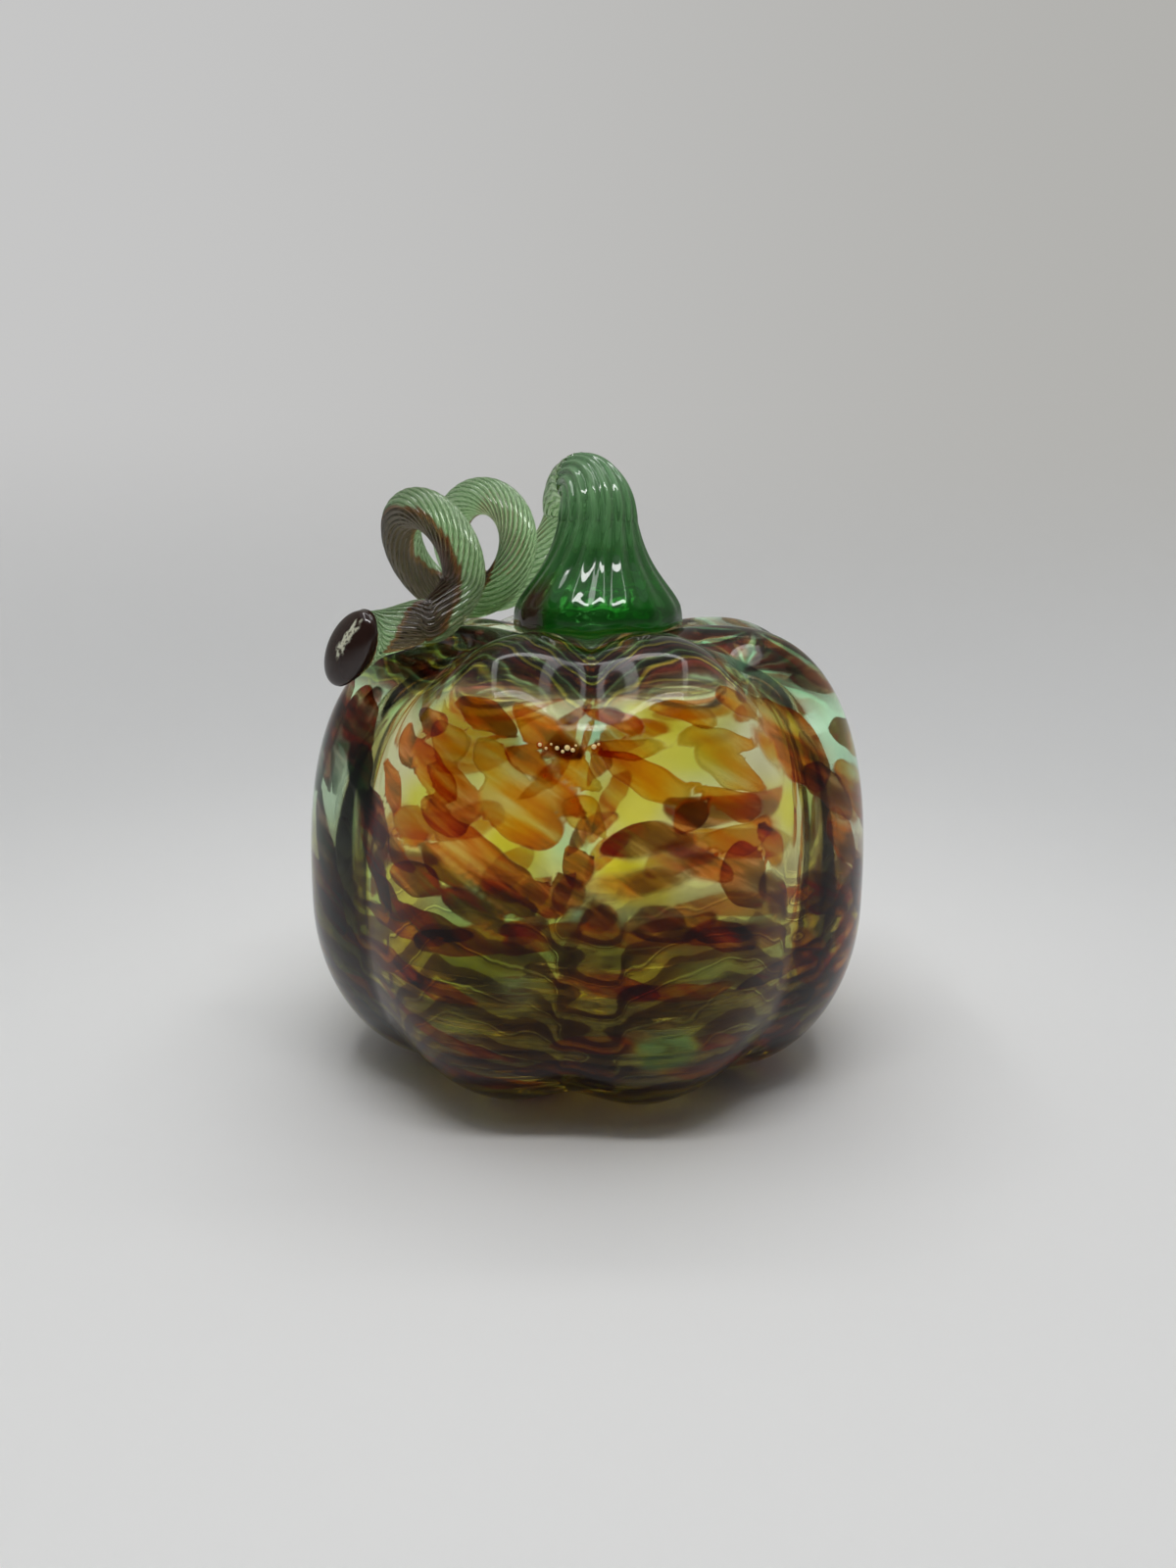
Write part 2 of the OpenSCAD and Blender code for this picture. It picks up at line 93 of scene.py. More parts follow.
class Recipe:
    """The nodes of a material or a world, and the steps that mix its colours and finish."""

    def __init__(self, owner):
        owner.use_nodes = True
        self.nodes, self.links = owner.node_tree.nodes, owner.node_tree.links

    def fill(self, socket, value):
        """A plain value is set on the socket, and one that another node makes is linked to it."""
        if isinstance(value, (int, float, tuple)):
            socket.default_value = (*value, 1) if socket.type == "RGBA" else value
        else:
            self.links.new(value, socket)

    def give(self, **values):
        """Fills the shader's sockets. A socket's name has _ for a space."""
        for name, value in values.items():
            self.fill(self.nodes["Principled BSDF"].inputs[name.replace("_", " ")], value)

    def new(self, kind, **values):
        made = self.nodes.new("ShaderNode" + kind)
        for name, value in values.items():
            self.fill(made.inputs[name.replace("_", " ")], value)
        return made

    def value(self, name):
        read = self.new("Attribute")
        read.attribute_name = name
        return read.outputs["Fac"]

    def place(self):
        return self.new("TexCoord").outputs["Object"]

    def noise(self, place, scale, detail=2):
        return self.new("TexNoise", Vector=place, Scale=scale, Detail=detail).outputs["Fac"]

    def math(self, operation, *values):
        made = self.new("Math")
        made.operation = operation
        for socket, value in zip(made.inputs, values):
            self.fill(socket, value)
        return made.outputs[0]

    def swing(self, noise, width):
        """The noise spread over the width, half of it below 0."""
        return self.math("MULTIPLY_ADD", noise, width, -width / 2)

    def mix(self, blend, factor, a, b):
        made = self.new("Mix")
        made.data_type, made.blend_type = "RGBA", blend
        for name, value in (("Factor", factor), ("A", a), ("B", b)):
            self.fill(made.inputs[name], value)
        return made.outputs["Result"]

    def range(self, value, low, high):
        made = self.new("MapRange", Value=value, From_Min=low, From_Max=high)
        made.interpolation_type = "SMOOTHSTEP"
        return made.outputs["Result"]

    def ramp(self, value, stops):
        made = self.new("ValToRGB", Fac=value)
        while len(made.color_ramp.elements) < len(stops):
            made.color_ramp.elements.new(0.5)
        for stop, (at, tone) in zip(made.color_ramp.elements, stops):
            stop.position, stop.color = at, (*tone, 1)
        return made.outputs["Color"]


def coat(piece, name):
    """The recipe of a new material on the piece."""
    material = bpy.data.materials.new(name)
    piece.data.materials.append(material)
    return Recipe(material)


# The wall's glow: it starts above the floor, fades out towards the front, which stays dim,
# and differs for the camera, for reflections and for what is seen through the glass
GLOW_RISE = 0.20
GLOW_BACK_Y, GLOW_FRONT_Y = 0.15, -0.25
GLOW_HALF_X = 0.6
FRONT_DIM = (0.06, 0.06, 0.06)
WALL_LEFT = (0.58, 0.58, 0.58)
WALL_RIGHT = (0.43, 0.425, 0.405)
WALL_SHEEN = (0.26, 0.26, 0.24)
WALL_THROUGH = (0.92, 0.92, 0.88)
recipe = coat(board, "board_paint")
where = recipe.place()
grain = recipe.noise(where, BOARD_GRAIN)
split = recipe.new("SeparateXYZ", Vector=where)
paint = recipe.mix("MIX", grain, BOARD_COLOUR, BOARD_GREYER)
rise = recipe.range(split.outputs["Z"], 0.0, GLOW_RISE)
front = recipe.range(split.outputs["Y"], GLOW_BACK_Y, GLOW_FRONT_Y)
front = recipe.math("MULTIPLY", front, rise)
paint = recipe.mix("MIX", front, paint, FRONT_DIM)
recipe.give(Base_Color=paint, Roughness=BOARD_ROUGHNESS)
across = recipe.range(split.outputs["X"], -GLOW_HALF_X, GLOW_HALF_X)
wall_tint = recipe.mix("MIX", across, WALL_LEFT, WALL_RIGHT)
path = recipe.new("LightPath")
glossy, through = path.outputs["Is Glossy Ray"], path.outputs["Is Transmission Ray"]
wall_tint = recipe.mix("MIX", glossy, wall_tint, WALL_SHEEN)
wall_tint = recipe.mix("MIX", through, wall_tint, WALL_THROUGH)
wall_glow = recipe.new("Emission", Color=wall_tint)
back = recipe.math("SUBTRACT", 1.0, front)
shown = recipe.math("MULTIPLY", glossy, back)
seen = recipe.math("MAXIMUM", path.outputs["Is Camera Ray"], through)
seen = recipe.math("MAXIMUM", seen, shown)
board_mix = recipe.new("MixShader", Fac=recipe.math("MULTIPLY", seen, rise))
recipe.fill(board_mix.inputs[1], recipe.nodes["Principled BSDF"].outputs["BSDF"])
recipe.fill(board_mix.inputs[2], wall_glow.outputs["Emission"])
recipe.fill(recipe.nodes["Material Output"].inputs["Surface"], board_mix.outputs["Shader"])


# Lights: a frame of four narrow lamps above the pumpkin, whose bright outline shows in the glass,
# and a pale even sky that fills the shadows and is dimmer in reflections.
LAMP_FRAME_W = 0.30
LAMP_FRAME_D = 0.32
LAMP_FRAME_Z = 0.46
LAMP_FRAME_Y = -0.02
LAMP_STRIP = 0.042
LAMP_WATTS = 0.60
NEAR_SHARE, FAR_SHARE, LEFT_SHARE, RIGHT_SHARE = 1, 0.35, 0.32, 0.25
SKY_COLOUR = (0.93, 0.96, 1.0)
SKY_STRENGTH = 0.84
SKY_SHEEN = 0.45
LIGHT_BOUNCES = 24

for lamp_x, lamp_y, long_x, share in (
    (0, LAMP_FRAME_Y - LAMP_FRAME_D / 2, True, NEAR_SHARE),
    (0, LAMP_FRAME_Y + LAMP_FRAME_D / 2, True, FAR_SHARE),
    (-LAMP_FRAME_W / 2, LAMP_FRAME_Y, False, LEFT_SHARE),
    (LAMP_FRAME_W / 2, LAMP_FRAME_Y, False, RIGHT_SHARE),
):
    bpy.ops.object.light_add(type="AREA", location=(lamp_x, lamp_y, LAMP_FRAME_Z))
    lamp = bpy.context.object.data
    lamp.shape = "RECTANGLE"
    lamp.size = LAMP_FRAME_W if long_x else LAMP_STRIP
    lamp.size_y = LAMP_STRIP if long_x else LAMP_FRAME_D
    lamp.energy = LAMP_WATTS * share

world = bpy.data.worlds.new("pale_sky")
recipe = Recipe(world)
sky = recipe.nodes["Background"]
glossy = recipe.new("LightPath").outputs["Is Glossy Ray"]
recipe.fill(sky.inputs["Color"], SKY_COLOUR)
dimmer = recipe.math("MULTIPLY_ADD", glossy, SKY_SHEEN - SKY_STRENGTH, SKY_STRENGTH)
recipe.fill(sky.inputs["Strength"], dimmer)
bpy.context.scene.world = world
bpy.context.scene.view_settings.view_transform = "Standard"
bpy.context.scene.cycles.max_bounces = LIGHT_BOUNCES
bpy.context.scene.cycles.transmission_bounces = LIGHT_BOUNCES


# Body: a bubble of clear glass, blown into a mould with eight ribs and opened at the neck.
# Its wall is about 5 mm thick, with a thicker floor and crown, and it stands on its lobes.
# The colour chips were rolled up from the bench and melted flush, and softer colour lies inside.
MM = 0.001
LOBES = 8
BODY_R = 63.5
BODY_H = 98.0
WAIST_H = 39.0
CREASE_DEPTH = 3.4
CREASE_LEAN = math.radians(5.5)
TOP_LEAN = CREASE_LEAN / 6
FOOT_CIRCLE_R = 31.0
FOOT_FLAT = 1.0
BASE_HOLLOW = 4.0
CROWN_R = 30.0
CROWN_DIP = 4.5
NECK_R = 10.0
FOOT_POWER = 2.07
SHOULDER_POWER = 2.6
LOBE_POWER = 0.7
WALL_T = 5.0
FLOOR_T = 7.0
CROWN_T = 8.0
INNER_CREASE_SHARE = 0.3
SHOULDER_FOLD = 0.7
FOLD_AT, FOLD_SPREAD, FOLD_END = 1.08, 0.36, 0.3
RIPPLE = 0.07
RIPPLE_GAP = 3.6
RIPPLE_FROM, RIPPLE_TO = 40.0, 98.0
RIPPLE_SWELL, RIPPLE_FADE = 12.0, 22.0
RIPPLE_OUTSIDE = 0.12
RIPPLE_WAVES = [(1.2, 3, 0.7), (0.7, 11, 0)]
BODY_COLS = 288
OUTER_ROWS = 184
NECK_ROWS = 4
INNER_ROWS = 152


def share_of(value, start, end):
    """0 at the start and before it, 1 at the end and past it, and straight between."""
    return np.clip((value - start) / (end - start), 0, 1)


def within(value, start, full, fades, end):
    """1 from full to where it fades, and 0 before the start and past the end."""
    return share_of(value, start, full) * share_of(value, end, fades)


def waves(turn, parts, level=0):
    """The level with waves round the body added, each given by its height, count and start."""
    return sum((height * np.sin(count * turn + start) for height, count, start in parts), level)


def rounded(x, power):
    return np.sign(x) * np.abs(x) ** (2 / power)


def side(angle):
    low = angle < 0
    power = np.where(low, FOOT_POWER, SHOULDER_POWER)
    inner = np.where(low, FOOT_CIRCLE_R, CROWN_R)
    rise = np.where(low, WAIST_H + FOOT_FLAT, BODY_H - WAIST_H)
    r = inner + (BODY_R - inner) * rounded(np.cos(angle), power)
    return r, WAIST_H + rise * rounded(np.sin(angle), power)


def crease_dip(column):
    """1 in the middle of a crease and 0 on a lobe's crest, by angle from the front."""
    return 1 - ((1 - np.cos(LOBES * column)) / 2) ** LOBE_POWER


def crown_share(r):
    return share_of(r, CROWN_R, NECK_R)


# Crest's profile from the middle of the base to the neck, by its length, with the share of a crease's
# depth and the wall's thickness at each point
base_s = np.linspace(0, 1, 40)[:-1]
side_a = np.linspace(-math.pi / 2, math.pi / 2, 400)
crown_s = np.linspace(0, 1, 40)[1:]
side_r, side_z = side(side_a)
crown_pr = CROWN_R + (NECK_R - CROWN_R) * crown_s
crest_r = np.concatenate([FOOT_CIRCLE_R * base_s, side_r, crown_pr])
crest_z = np.concatenate([
    BASE_HOLLOW * (1 - base_s**2) ** 2 - FOOT_FLAT,
    side_z,
    BODY_H - CROWN_DIP * crown_share(crown_pr) ** 2,
])
shoulder = np.exp(-(((side_a - FOLD_AT) / FOLD_SPREAD) ** 2)) * share_of(np.cos(side_a), 0, FOLD_END)
crest_fold = np.concatenate([base_s**2, 1 + SHOULDER_FOLD * shoulder, (1 - crown_share(crown_pr)) ** 2])
end_t = np.where(side_a < 0, FLOOR_T, CROWN_T)
crest_wall = np.concatenate([
    np.full_like(base_s, FLOOR_T),
    WALL_T + (end_t - WALL_T) * np.sin(side_a) ** 2,
    np.full_like(crown_s, CROWN_T),
])
side_dr, side_dz = np.gradient(side_r), np.gradient(side_z)
side_len = np.hypot(side_dr, side_dz)
crest_out_r = np.concatenate([np.zeros_like(base_s), side_dz / side_len, np.zeros_like(crown_s)])
crest_out_z = np.concatenate([-np.ones_like(base_s), -side_dr / side_len, np.ones_like(crown_s)])
crest_along = np.concatenate([[0], np.cumsum(np.hypot(np.diff(crest_r), np.diff(crest_z)))])
CREST_L = crest_along[-1]


def crest(values, along):
    return np.interp(along, crest_along, values)


def body_lean(z):
    return TOP_LEAN - CREASE_LEAN * (1 - z / BODY_H)


def body_wall(column, along, inside):
    """Points of the wall in millimetres, by angle from the front, length along the crest, share inside."""
    fold = CREASE_DEPTH * crease_dip(column) * crest(crest_fold, along)
    fold = fold * (1 - (1 - INNER_CREASE_SHARE) * inside)
    window = within(along, RIPPLE_FROM, RIPPLE_FROM + RIPPLE_SWELL, RIPPLE_TO - RIPPLE_FADE, RIPPLE_TO)
    wander = waves(column, RIPPLE_WAVES)
    ripple = RIPPLE * window * np.sin(2 * math.pi * along / RIPPLE_GAP + wander)
    off = fold + inside * (crest(crest_wall, along) + ripple) + RIPPLE_OUTSIDE * (1 - inside) * ripple
    r = crest(crest_r, along) - off * crest(crest_out_r, along)
    z = crest(crest_z, along) - off * crest(crest_out_z, along)
    z = np.where(inside > 0, z, np.maximum(z, 0))
    around = column - math.pi / 2 + body_lean(crest(crest_z, along))
    return np.stack([r * np.cos(around), r * np.sin(around), z], -1)


def wrapped_grid(name, columns, rows, place, values=()):
    """A flat grid, wrapped by place(u, v) into a closed skin whose seam and poles are merged."""
    bpy.ops.object.select_all(action="DESELECT")
    bpy.ops.mesh.primitive_grid_add(x_subdivisions=columns, y_subdivisions=rows, size=1)
    skin = bpy.context.object
    skin.name = name
    flat = np.zeros(len(skin.data.vertices) * 3)
    skin.data.vertices.foreach_get("co", flat)
    u, v = flat.reshape(-1, 3)[:, 0] + 0.5, flat.reshape(-1, 3)[:, 1] + 0.5
    skin.data.vertices.foreach_set("co", (place(u, v) * MM).ravel())
    for value_name, value in values:
        made = skin.data.attributes.new(value_name, "FLOAT", "POINT")
        made.data.foreach_set("value", value(u, v).astype(np.float32))
    bpy.ops.object.mode_set(mode="EDIT")
    bpy.ops.mesh.select_all(action="SELECT")
    bpy.ops.mesh.remove_doubles(threshold=1e-6)
    bpy.ops.mesh.normals_make_consistent(inside=False)
    bpy.ops.object.mode_set(mode="OBJECT")
    bpy.ops.object.shade_smooth()
    return skin


ROW_SHARES = [0, 0.16, 0.58, 1]


def body_place(u, v):
    """Column angle, length along the crest and share inside of the wall for a place on the body's grid."""
    row = v * (OUTER_ROWS + NECK_ROWS + INNER_ROWS)
    inside = share_of(row, OUTER_ROWS, OUTER_ROWS + NECK_ROWS)
    back = share_of(row, OUTER_ROWS + NECK_ROWS, OUTER_ROWS + NECK_ROWS + INNER_ROWS)
    share = np.where(row <= OUTER_ROWS, row / OUTER_ROWS, 1 - back)
    along = np.interp(share, ROW_SHARES, [0, RIPPLE_FROM, RIPPLE_TO, CREST_L])
    return (2 * u - 1) * math.pi, along, inside


# Chips: azimuth from the front in degrees, length along the crest, chip's length and width in millimetres,
# tilt in degrees, and tone from pale olive through amber, orange and brown to near black
FRONT_CHIPS = [
    (-29.5, 125, 17, 7, -38, 0.30), (-26, 117, 11, 7, -20, 0.48), (-18.5, 110, 32, 8.5, -36, 0.42),
    (-12, 120, 21, 11, -48, 0.24), (-8, 134, 16, 7, -33, 0.38), (-17, 128, 11, 6, -40, 0.14),
    (-33, 114, 12, 8, -20, 0.16), (-31.5, 104, 16, 7, -6, 0.58), (-40, 120, 13, 6, -55, 0.40),
    (-20, 136, 15, 6, -22, 0.48), (-33, 135, 13, 5, -25, 0.46), (-27, 131, 12, 7, -35, 0.12),
    (-36, 108, 10, 5, -30, 0.50), (-2, 127, 11, 6, -50, 0.16), (9.5, 126, 21, 6.5, -33, 0.22),
    (7, 131, 15, 4.5, -4, 0.14), (-0.5, 118, 11, 6.5, -40, 0.04), (11, 113.5, 18, 6.5, 3, 0.60),
    (17.5, 117.5, 8, 6, 38, 0.48), (-2, 109, 9, 6, -70, 0.44), (10, 106, 18, 5, 6, 0.52),
    (27, 125, 19, 7, -30, 0.14), (26.5, 119.5, 18, 5.5, -20, 0.30), (27, 113, 20, 6, 0, 0.20),
    (28.5, 104.5, 15, 11, -58, 0.57), (25.5, 131, 17, 5, -10, 0.10), (19, 137, 14, 4.5, -20, 0.18),
    (5, 138, 14, 4, -30, 0.40), (33, 138, 13, 6, -30, 0.26), (38, 128, 11, 5, -60, 0.16),
    (-8, 103, 12, 6, -30, 0.50), (-20, 101, 16, 6, -20, 0.55), (-28, 96, 19, 6, -8, 0.58),
    (-12, 95, 16, 6, -15, 0.44), (2, 99, 9, 6, -60, 0.52), (14, 97, 19, 5, 4, 0.55),
    (24, 94, 17, 6, -18, 0.46), (36, 99, 14, 7, -50, 0.58), (-39, 98, 14, 7, -40, 0.62),
    (-24, 122, 15, 7, -35, 0.34), (-38, 129, 12, 6, -50, 0.44), (-5, 122, 13, 6, -42, 0.28),
    (-25, 108, 15, 6, -30, 0.50), (-14, 103, 13, 5, -30, 0.55), (-3, 104, 10, 5, -50, 0.50),
    (-42, 110, 11, 6, -60, 0.60), (-11, 128, 11, 5, -30, 0.30), (20, 108, 13, 5, -20, 0.44),
    (35, 110, 12, 6, -50, 0.34),
]
# Chips of the left lobe that the photo shows
SIDE_CHIPS = [
    (-73, 119, 14, 5.5, -58, 0.74), (-80, 129, 13, 6, -60, 0.66),
    (-66, 134, 12, 5, -60, 0.72), (-83, 104, 14, 6, -60, 0.70),
]
# Soft colour inside the wall: azimuth, length along the crest, size and strength
YELLOW_PATCHES = [
    (-28, 138, 7, 1.0), (-32, 118, 6, 0.9), (9, 121, 8, 1.0), (16, 134, 8, 0.9), (-4, 131, 6, 0.6),
    (24, 129, 7, 0.6), (6, 107, 6, 0.9), (-14, 113, 6, 0.5), (-20, 126, 6, 0.5), (36, 118, 5, 0.5),
]
AQUA_PATCHES = [
    (-14, 131, 5, 0.8), (3, 136, 5, 0.7), (-4, 112, 4, 0.7), (-38, 146, 6, 1.0), (54, 142, 10, 0.9),
    (-86, 100, 8, 0.9), (-80, 78, 7, 0.8), (18, 99, 6, 0.5), (60, 118, 8, 0.7), (-64, 108, 8, 0.7),
    (-70, 124, 6, 0.6),
]
# The pinwheel on the right shoulder, where a lobe's chips were drawn together
STAR_AZ, STAR_ALONG = 66, 158
STAR_R = 28
STAR_FADE = 14
STAR_EYE = 6
STAR_COUNT = 10
STAR_SWIRL = 0.07
# Chips placed by chance leave out the front. Their sizes and strays are spread between two values.
FRONT_AZ = 44.0
FRONT_ALONG = (98.0, 170.0)
LOW_ALONG = 50.0
CHIP_FIRST, CHIP_FEWEST = 14, 4
CHIP_GAP_ROUND = 17.0
CHIP_GAP_UP = 10.0
CHIP_STRAY, CHIP_STRAY_UP = 0.35, 3
CHIP_LENGTHS, CHIP_WIDTHS = (15, 27), (7, 10.5)
CHIP_TILTS, CHIP_TONE_SPREAD = 11, 1.2
# Zones of the wall, of which the first that holds a chip counts: length along the crest from and to,
# azimuth from and to, lean in degrees, lightest and darkest tone, and share of bare places
CHIP_ZONES = [
    (144, math.inf, 32, 115, -8, 0.40, 0.85, 1.0),
    (144, math.inf, -180, 180, -8, 0.42, 0.84, 0.6),
    (0, 46, -180, 180, -15, 0.30, 0.85, 0.6),
    (46, 144, -115, -66, -55, 0.30, 0.90, 0.55),
    (46, 144, -105, 0, -55, 0.34, 0.92, 0.34),
    (95, 144, 0, 105, -45, 0.26, 0.74, 0.34),
    (46, 95, 0, 105, -45, 0.26, 0.74, 0.15),
    (92, 144, -180, 180, -38, 0.0, 0.56, 0.45),
    (46, 92, -180, 180, -25, 0.15, 0.66, 0.4),
]
STREAK_ROWS = (62, 96, 11.0)
STREAK_COLUMNS = (-44, 45, 22)
STREAK_ASIDE, STREAK_UP = (-8, 8), (-2, 2)
STREAK_LENGTHS, STREAK_WIDTHS = (19, 34), (3.4, 6.0)
STREAK_TILTS, STREAK_TONES = (-5, 7), (0.16, 0.60)
YELLOW_COUNT = 58
AQUA_COUNT = 45
PATCH_LEAST, PATCH_MOST = (-180, 30, 5, 0.5), (180, CREST_L, 11, 1)

luck = np.random.default_rng(23)


def turn_from(azimuth, middle):
    """Degrees from the middle, the shorter way round."""
    return (azimuth - middle + 180) % 360 - 180


def chip_zone(azimuth, up):
    for low, high, first, last, *zone in CHIP_ZONES:
        if low <= up < high and first <= azimuth < last:
            return zone


def low_streaks():
    """Long thin streaks of brown and olive on the lower front, where the chips were drawn out sideways."""
    made = []
    for along in np.arange(*STREAK_ROWS):
        for azimuth in np.arange(*STREAK_COLUMNS):
            place = (azimuth + luck.uniform(*STREAK_ASIDE), along + luck.uniform(*STREAK_UP))
            size = (luck.uniform(*STREAK_LENGTHS), luck.uniform(*STREAK_WIDTHS))
            made.append(place + size + (luck.normal(*STREAK_TILTS), luck.uniform(*STREAK_TONES)))
    return made


def scattered_chips():
    """Chips of the rest of the wall, on loose rows: darker low down, on the shoulder and at the sides."""
    made = []
    for along in np.arange(CHIP_FIRST, CREST_L - CHIP_STRAY_UP, CHIP_GAP_UP):
        count = max(CHIP_FEWEST, int(2 * math.pi * float(crest(crest_r, along)) / CHIP_GAP_ROUND))
        for k in range(count):
            azimuth = turn_from(360 * (k + luck.uniform(-CHIP_STRAY, CHIP_STRAY)) / count, 0)
            up = along + luck.uniform(-CHIP_STRAY_UP, CHIP_STRAY_UP)
            size, width = luck.uniform(*CHIP_LENGTHS), luck.uniform(*CHIP_WIDTHS)
            tilt, low, high, bare = chip_zone(azimuth, up)
            tilt = tilt + luck.normal(0, CHIP_TILTS)
            tone = low + (high - low) * luck.beta(CHIP_TONE_SPREAD, CHIP_TONE_SPREAD)
            front = abs(azimuth) < FRONT_AZ and LOW_ALONG < up < FRONT_ALONG[1]
            if luck.uniform() > bare and not front:
                made.append((azimuth, up, size, width, tilt, tone))
    return made


def scattered_patches(count):
    """Soft patches of the rest of the wall."""
    spots = luck.uniform(PATCH_LEAST, PATCH_MOST, (count, 4))
    return [tuple(spot) for spot in spots if abs(spot[0]) > FRONT_AZ or spot[1] < FRONT_ALONG[0]]


def wobble(x, y, phase):
    """Smooth unevenness, between about -1.5 and 1.5."""
    slow = np.sin(0.9 * x + phase) * np.sin(1.1 * y + 2 * phase)
    return slow + 0.5 * np.sin(1.7 * x - 1.3 * y + 3 * phase)


# A chip's outline: its bend, taper, pointed ends, round sides and ragged edge, and its change of tone
CHIP_BEND, CHIP_TAPER = 0.35, 0.38
CHIP_POINT, CHIP_ROUND, CHIP_CORNER = 1.45, 1.9, 0.55
CHIP_RAGGED, CHIP_RAGGED_GAP = 0.34, 0.45
CHIP_SHADE = 0.20
FAR_FROM_CHIP = 9.0


def chip_layer(chips, azimuth, along):
    """Distance to the nearest chip's edge in millimetres, less than 0 inside it, and that chip's tone."""
    edge = np.full(azimuth.shape, FAR_FROM_CHIP)
    tones = np.full(azimuth.shape, 0.5)
    for k, (chip_azimuth, chip_along, size, width, tilt, tone) in enumerate(chips):
        x = np.radians(turn_from(azimuth, chip_azimuth)) * float(crest(crest_r, chip_along))
        y = along - chip_along
        near = np.flatnonzero((np.abs(x) < size) & (np.abs(y) < size))
        c, s = math.cos(math.radians(tilt)), math.sin(math.radians(tilt))
        p = (x[near] * c + y[near] * s) / (size / 2)
        q = (y[near] * c - x[near] * s) / (width / 2)
        q = (q + CHIP_BEND * math.sin(5 * k) * (p**2 - 0.4)) / (1 + CHIP_TAPER * math.sin(3 * k) * p)
        gap = ((np.abs(p) ** CHIP_POINT + np.abs(q) ** CHIP_ROUND) ** CHIP_CORNER - 1) * width / 2
        gap = gap + CHIP_RAGGED * wobble(x[near] * CHIP_RAGGED_GAP, y[near] * CHIP_RAGGED_GAP, k)
        nearer = gap < edge[near]
        closer = near[nearer]
        tones[closer] = tone + CHIP_SHADE * math.sin(7 * k) * np.clip(p[nearer], -1, 1)
        edge[closer] = gap[nearer]
    return edge, tones


def soft_layer(patches, azimuth, along):
    """Strength of soft colour, from 0 to 1."""
    total = np.zeros(azimuth.shape)
    for patch_azimuth, patch_along, size, strength in patches:
        x = np.radians(turn_from(azimuth, patch_azimuth)) * float(crest(crest_r, patch_along))
        total += strength * np.exp(-(x**2 + (along - patch_along) ** 2) / size**2)
    return np.clip(total, 0, 1)


loose_chips = scattered_chips() + low_streaks()
first_chips = FRONT_CHIPS[0::2] + loose_chips[0::2] + SIDE_CHIPS[0::2]
second_chips = FRONT_CHIPS[1::2] + loose_chips[1::2] + SIDE_CHIPS[1::2]
yellow_patches = YELLOW_PATCHES + scattered_patches(YELLOW_COUNT)
aqua_patches = AQUA_PATCHES + scattered_patches(AQUA_COUNT)
# A thin yellow veil: less on the right of the front and on the back, more low down
CLEAR_AZ, CLEAR_HALF = 22, 24
VEIL_AZ = 95
CLEAR_VEIL, FRONT_VEIL, BACK_VEIL, LOW_VEIL = 0.18, 0.34, 0.12, 0.35
VEIL_FROM, VEIL_TO = 104, 74


def yellow_layer(azimuth, along):
    veil = np.where(np.abs(azimuth) < VEIL_AZ, FRONT_VEIL, BACK_VEIL)
    veil = np.where(np.abs(azimuth - CLEAR_AZ) < CLEAR_HALF, CLEAR_VEIL, veil)
    veil = veil + LOW_VEIL * share_of(along, VEIL_FROM, VEIL_TO)
    return np.clip(soft_layer(yellow_patches, azimuth, along) + veil, 0, 1)


# Bands of the lower front and the shoulder: how far apart they lie, how high they reach and how they fade.
# The low ones are partly the glass's own brown and partly painted shade and light, standing in for the dark
# base and the shadow under it seen through the wavy wall.
# At each crease a narrow pillar of broken bands is painted light and shade, standing in for how the fold
# bends the light. Windows and panes are gaps in the low ones.
BAND_SPLIT = 120
LOW_FROM, LOW_FULL = 111, 93
HIGH_FROM, HIGH_FULL, HIGH_FADES, HIGH_END = 138, 146, 166, 174
FACING_END, FACING_FULL = 108, 92
LOW_GAP, HIGH_GAP = 7.4, 9.0
LOW_SAG, HIGH_SAG = 0.46, 0.34
BAND_WAVES = [(0.25, 3, 0), (0.10, 19, 1), (0.05, 43, 0)]
LENS_PILLAR_HALF, LENS_PILLAR_EDGE = 6.5, 1.2
LENS_PILLAR_JUMP, LENS_PILLAR_SWING, LENS_PILLAR_BEAT = 0.5, 0.3, 0.8
HIGH_PEAK, HIGH_PEAK_HALF = 0.3, 5
LOW_WINDOWS = [(14, 71, 6, 1.0), (-24, 74, 5, 0.6), (-12, 84, 4, 0.6), (20, 86, 5, 0.6), (34, 70, 4, 0.5)]
LOW_PANES = [(12, 70, 5.0, 0.9), (17, 71.5, 4.5, 0.8), (-22, 76, 4, 0.35)]


def facing(azimuth):
    """1 on the half of the wall that faces the front, 0 on the back."""
    return share_of(np.abs(azimuth), FACING_END, FACING_FULL)


def low_share(azimuth, along):
    return share_of(along, LOW_FROM, LOW_FULL) * facing(azimuth)


def star_way(azimuth, along):
    """Millimetres round and up the wall from the pinwheel's middle."""
    return np.radians(turn_from(azimuth, STAR_AZ)) * crest(crest_r, along), along - STAR_ALONG


def star_share(azimuth, along):
    away = np.hypot(*star_way(azimuth, along))
    return within(away, 0, STAR_EYE, STAR_R - STAR_FADE, STAR_R)


def high_share(azimuth, along):
    up = within(along, HIGH_FROM, HIGH_FULL, HIGH_FADES, HIGH_END)
    return up * facing(azimuth) * (1 - star_share(azimuth, along))


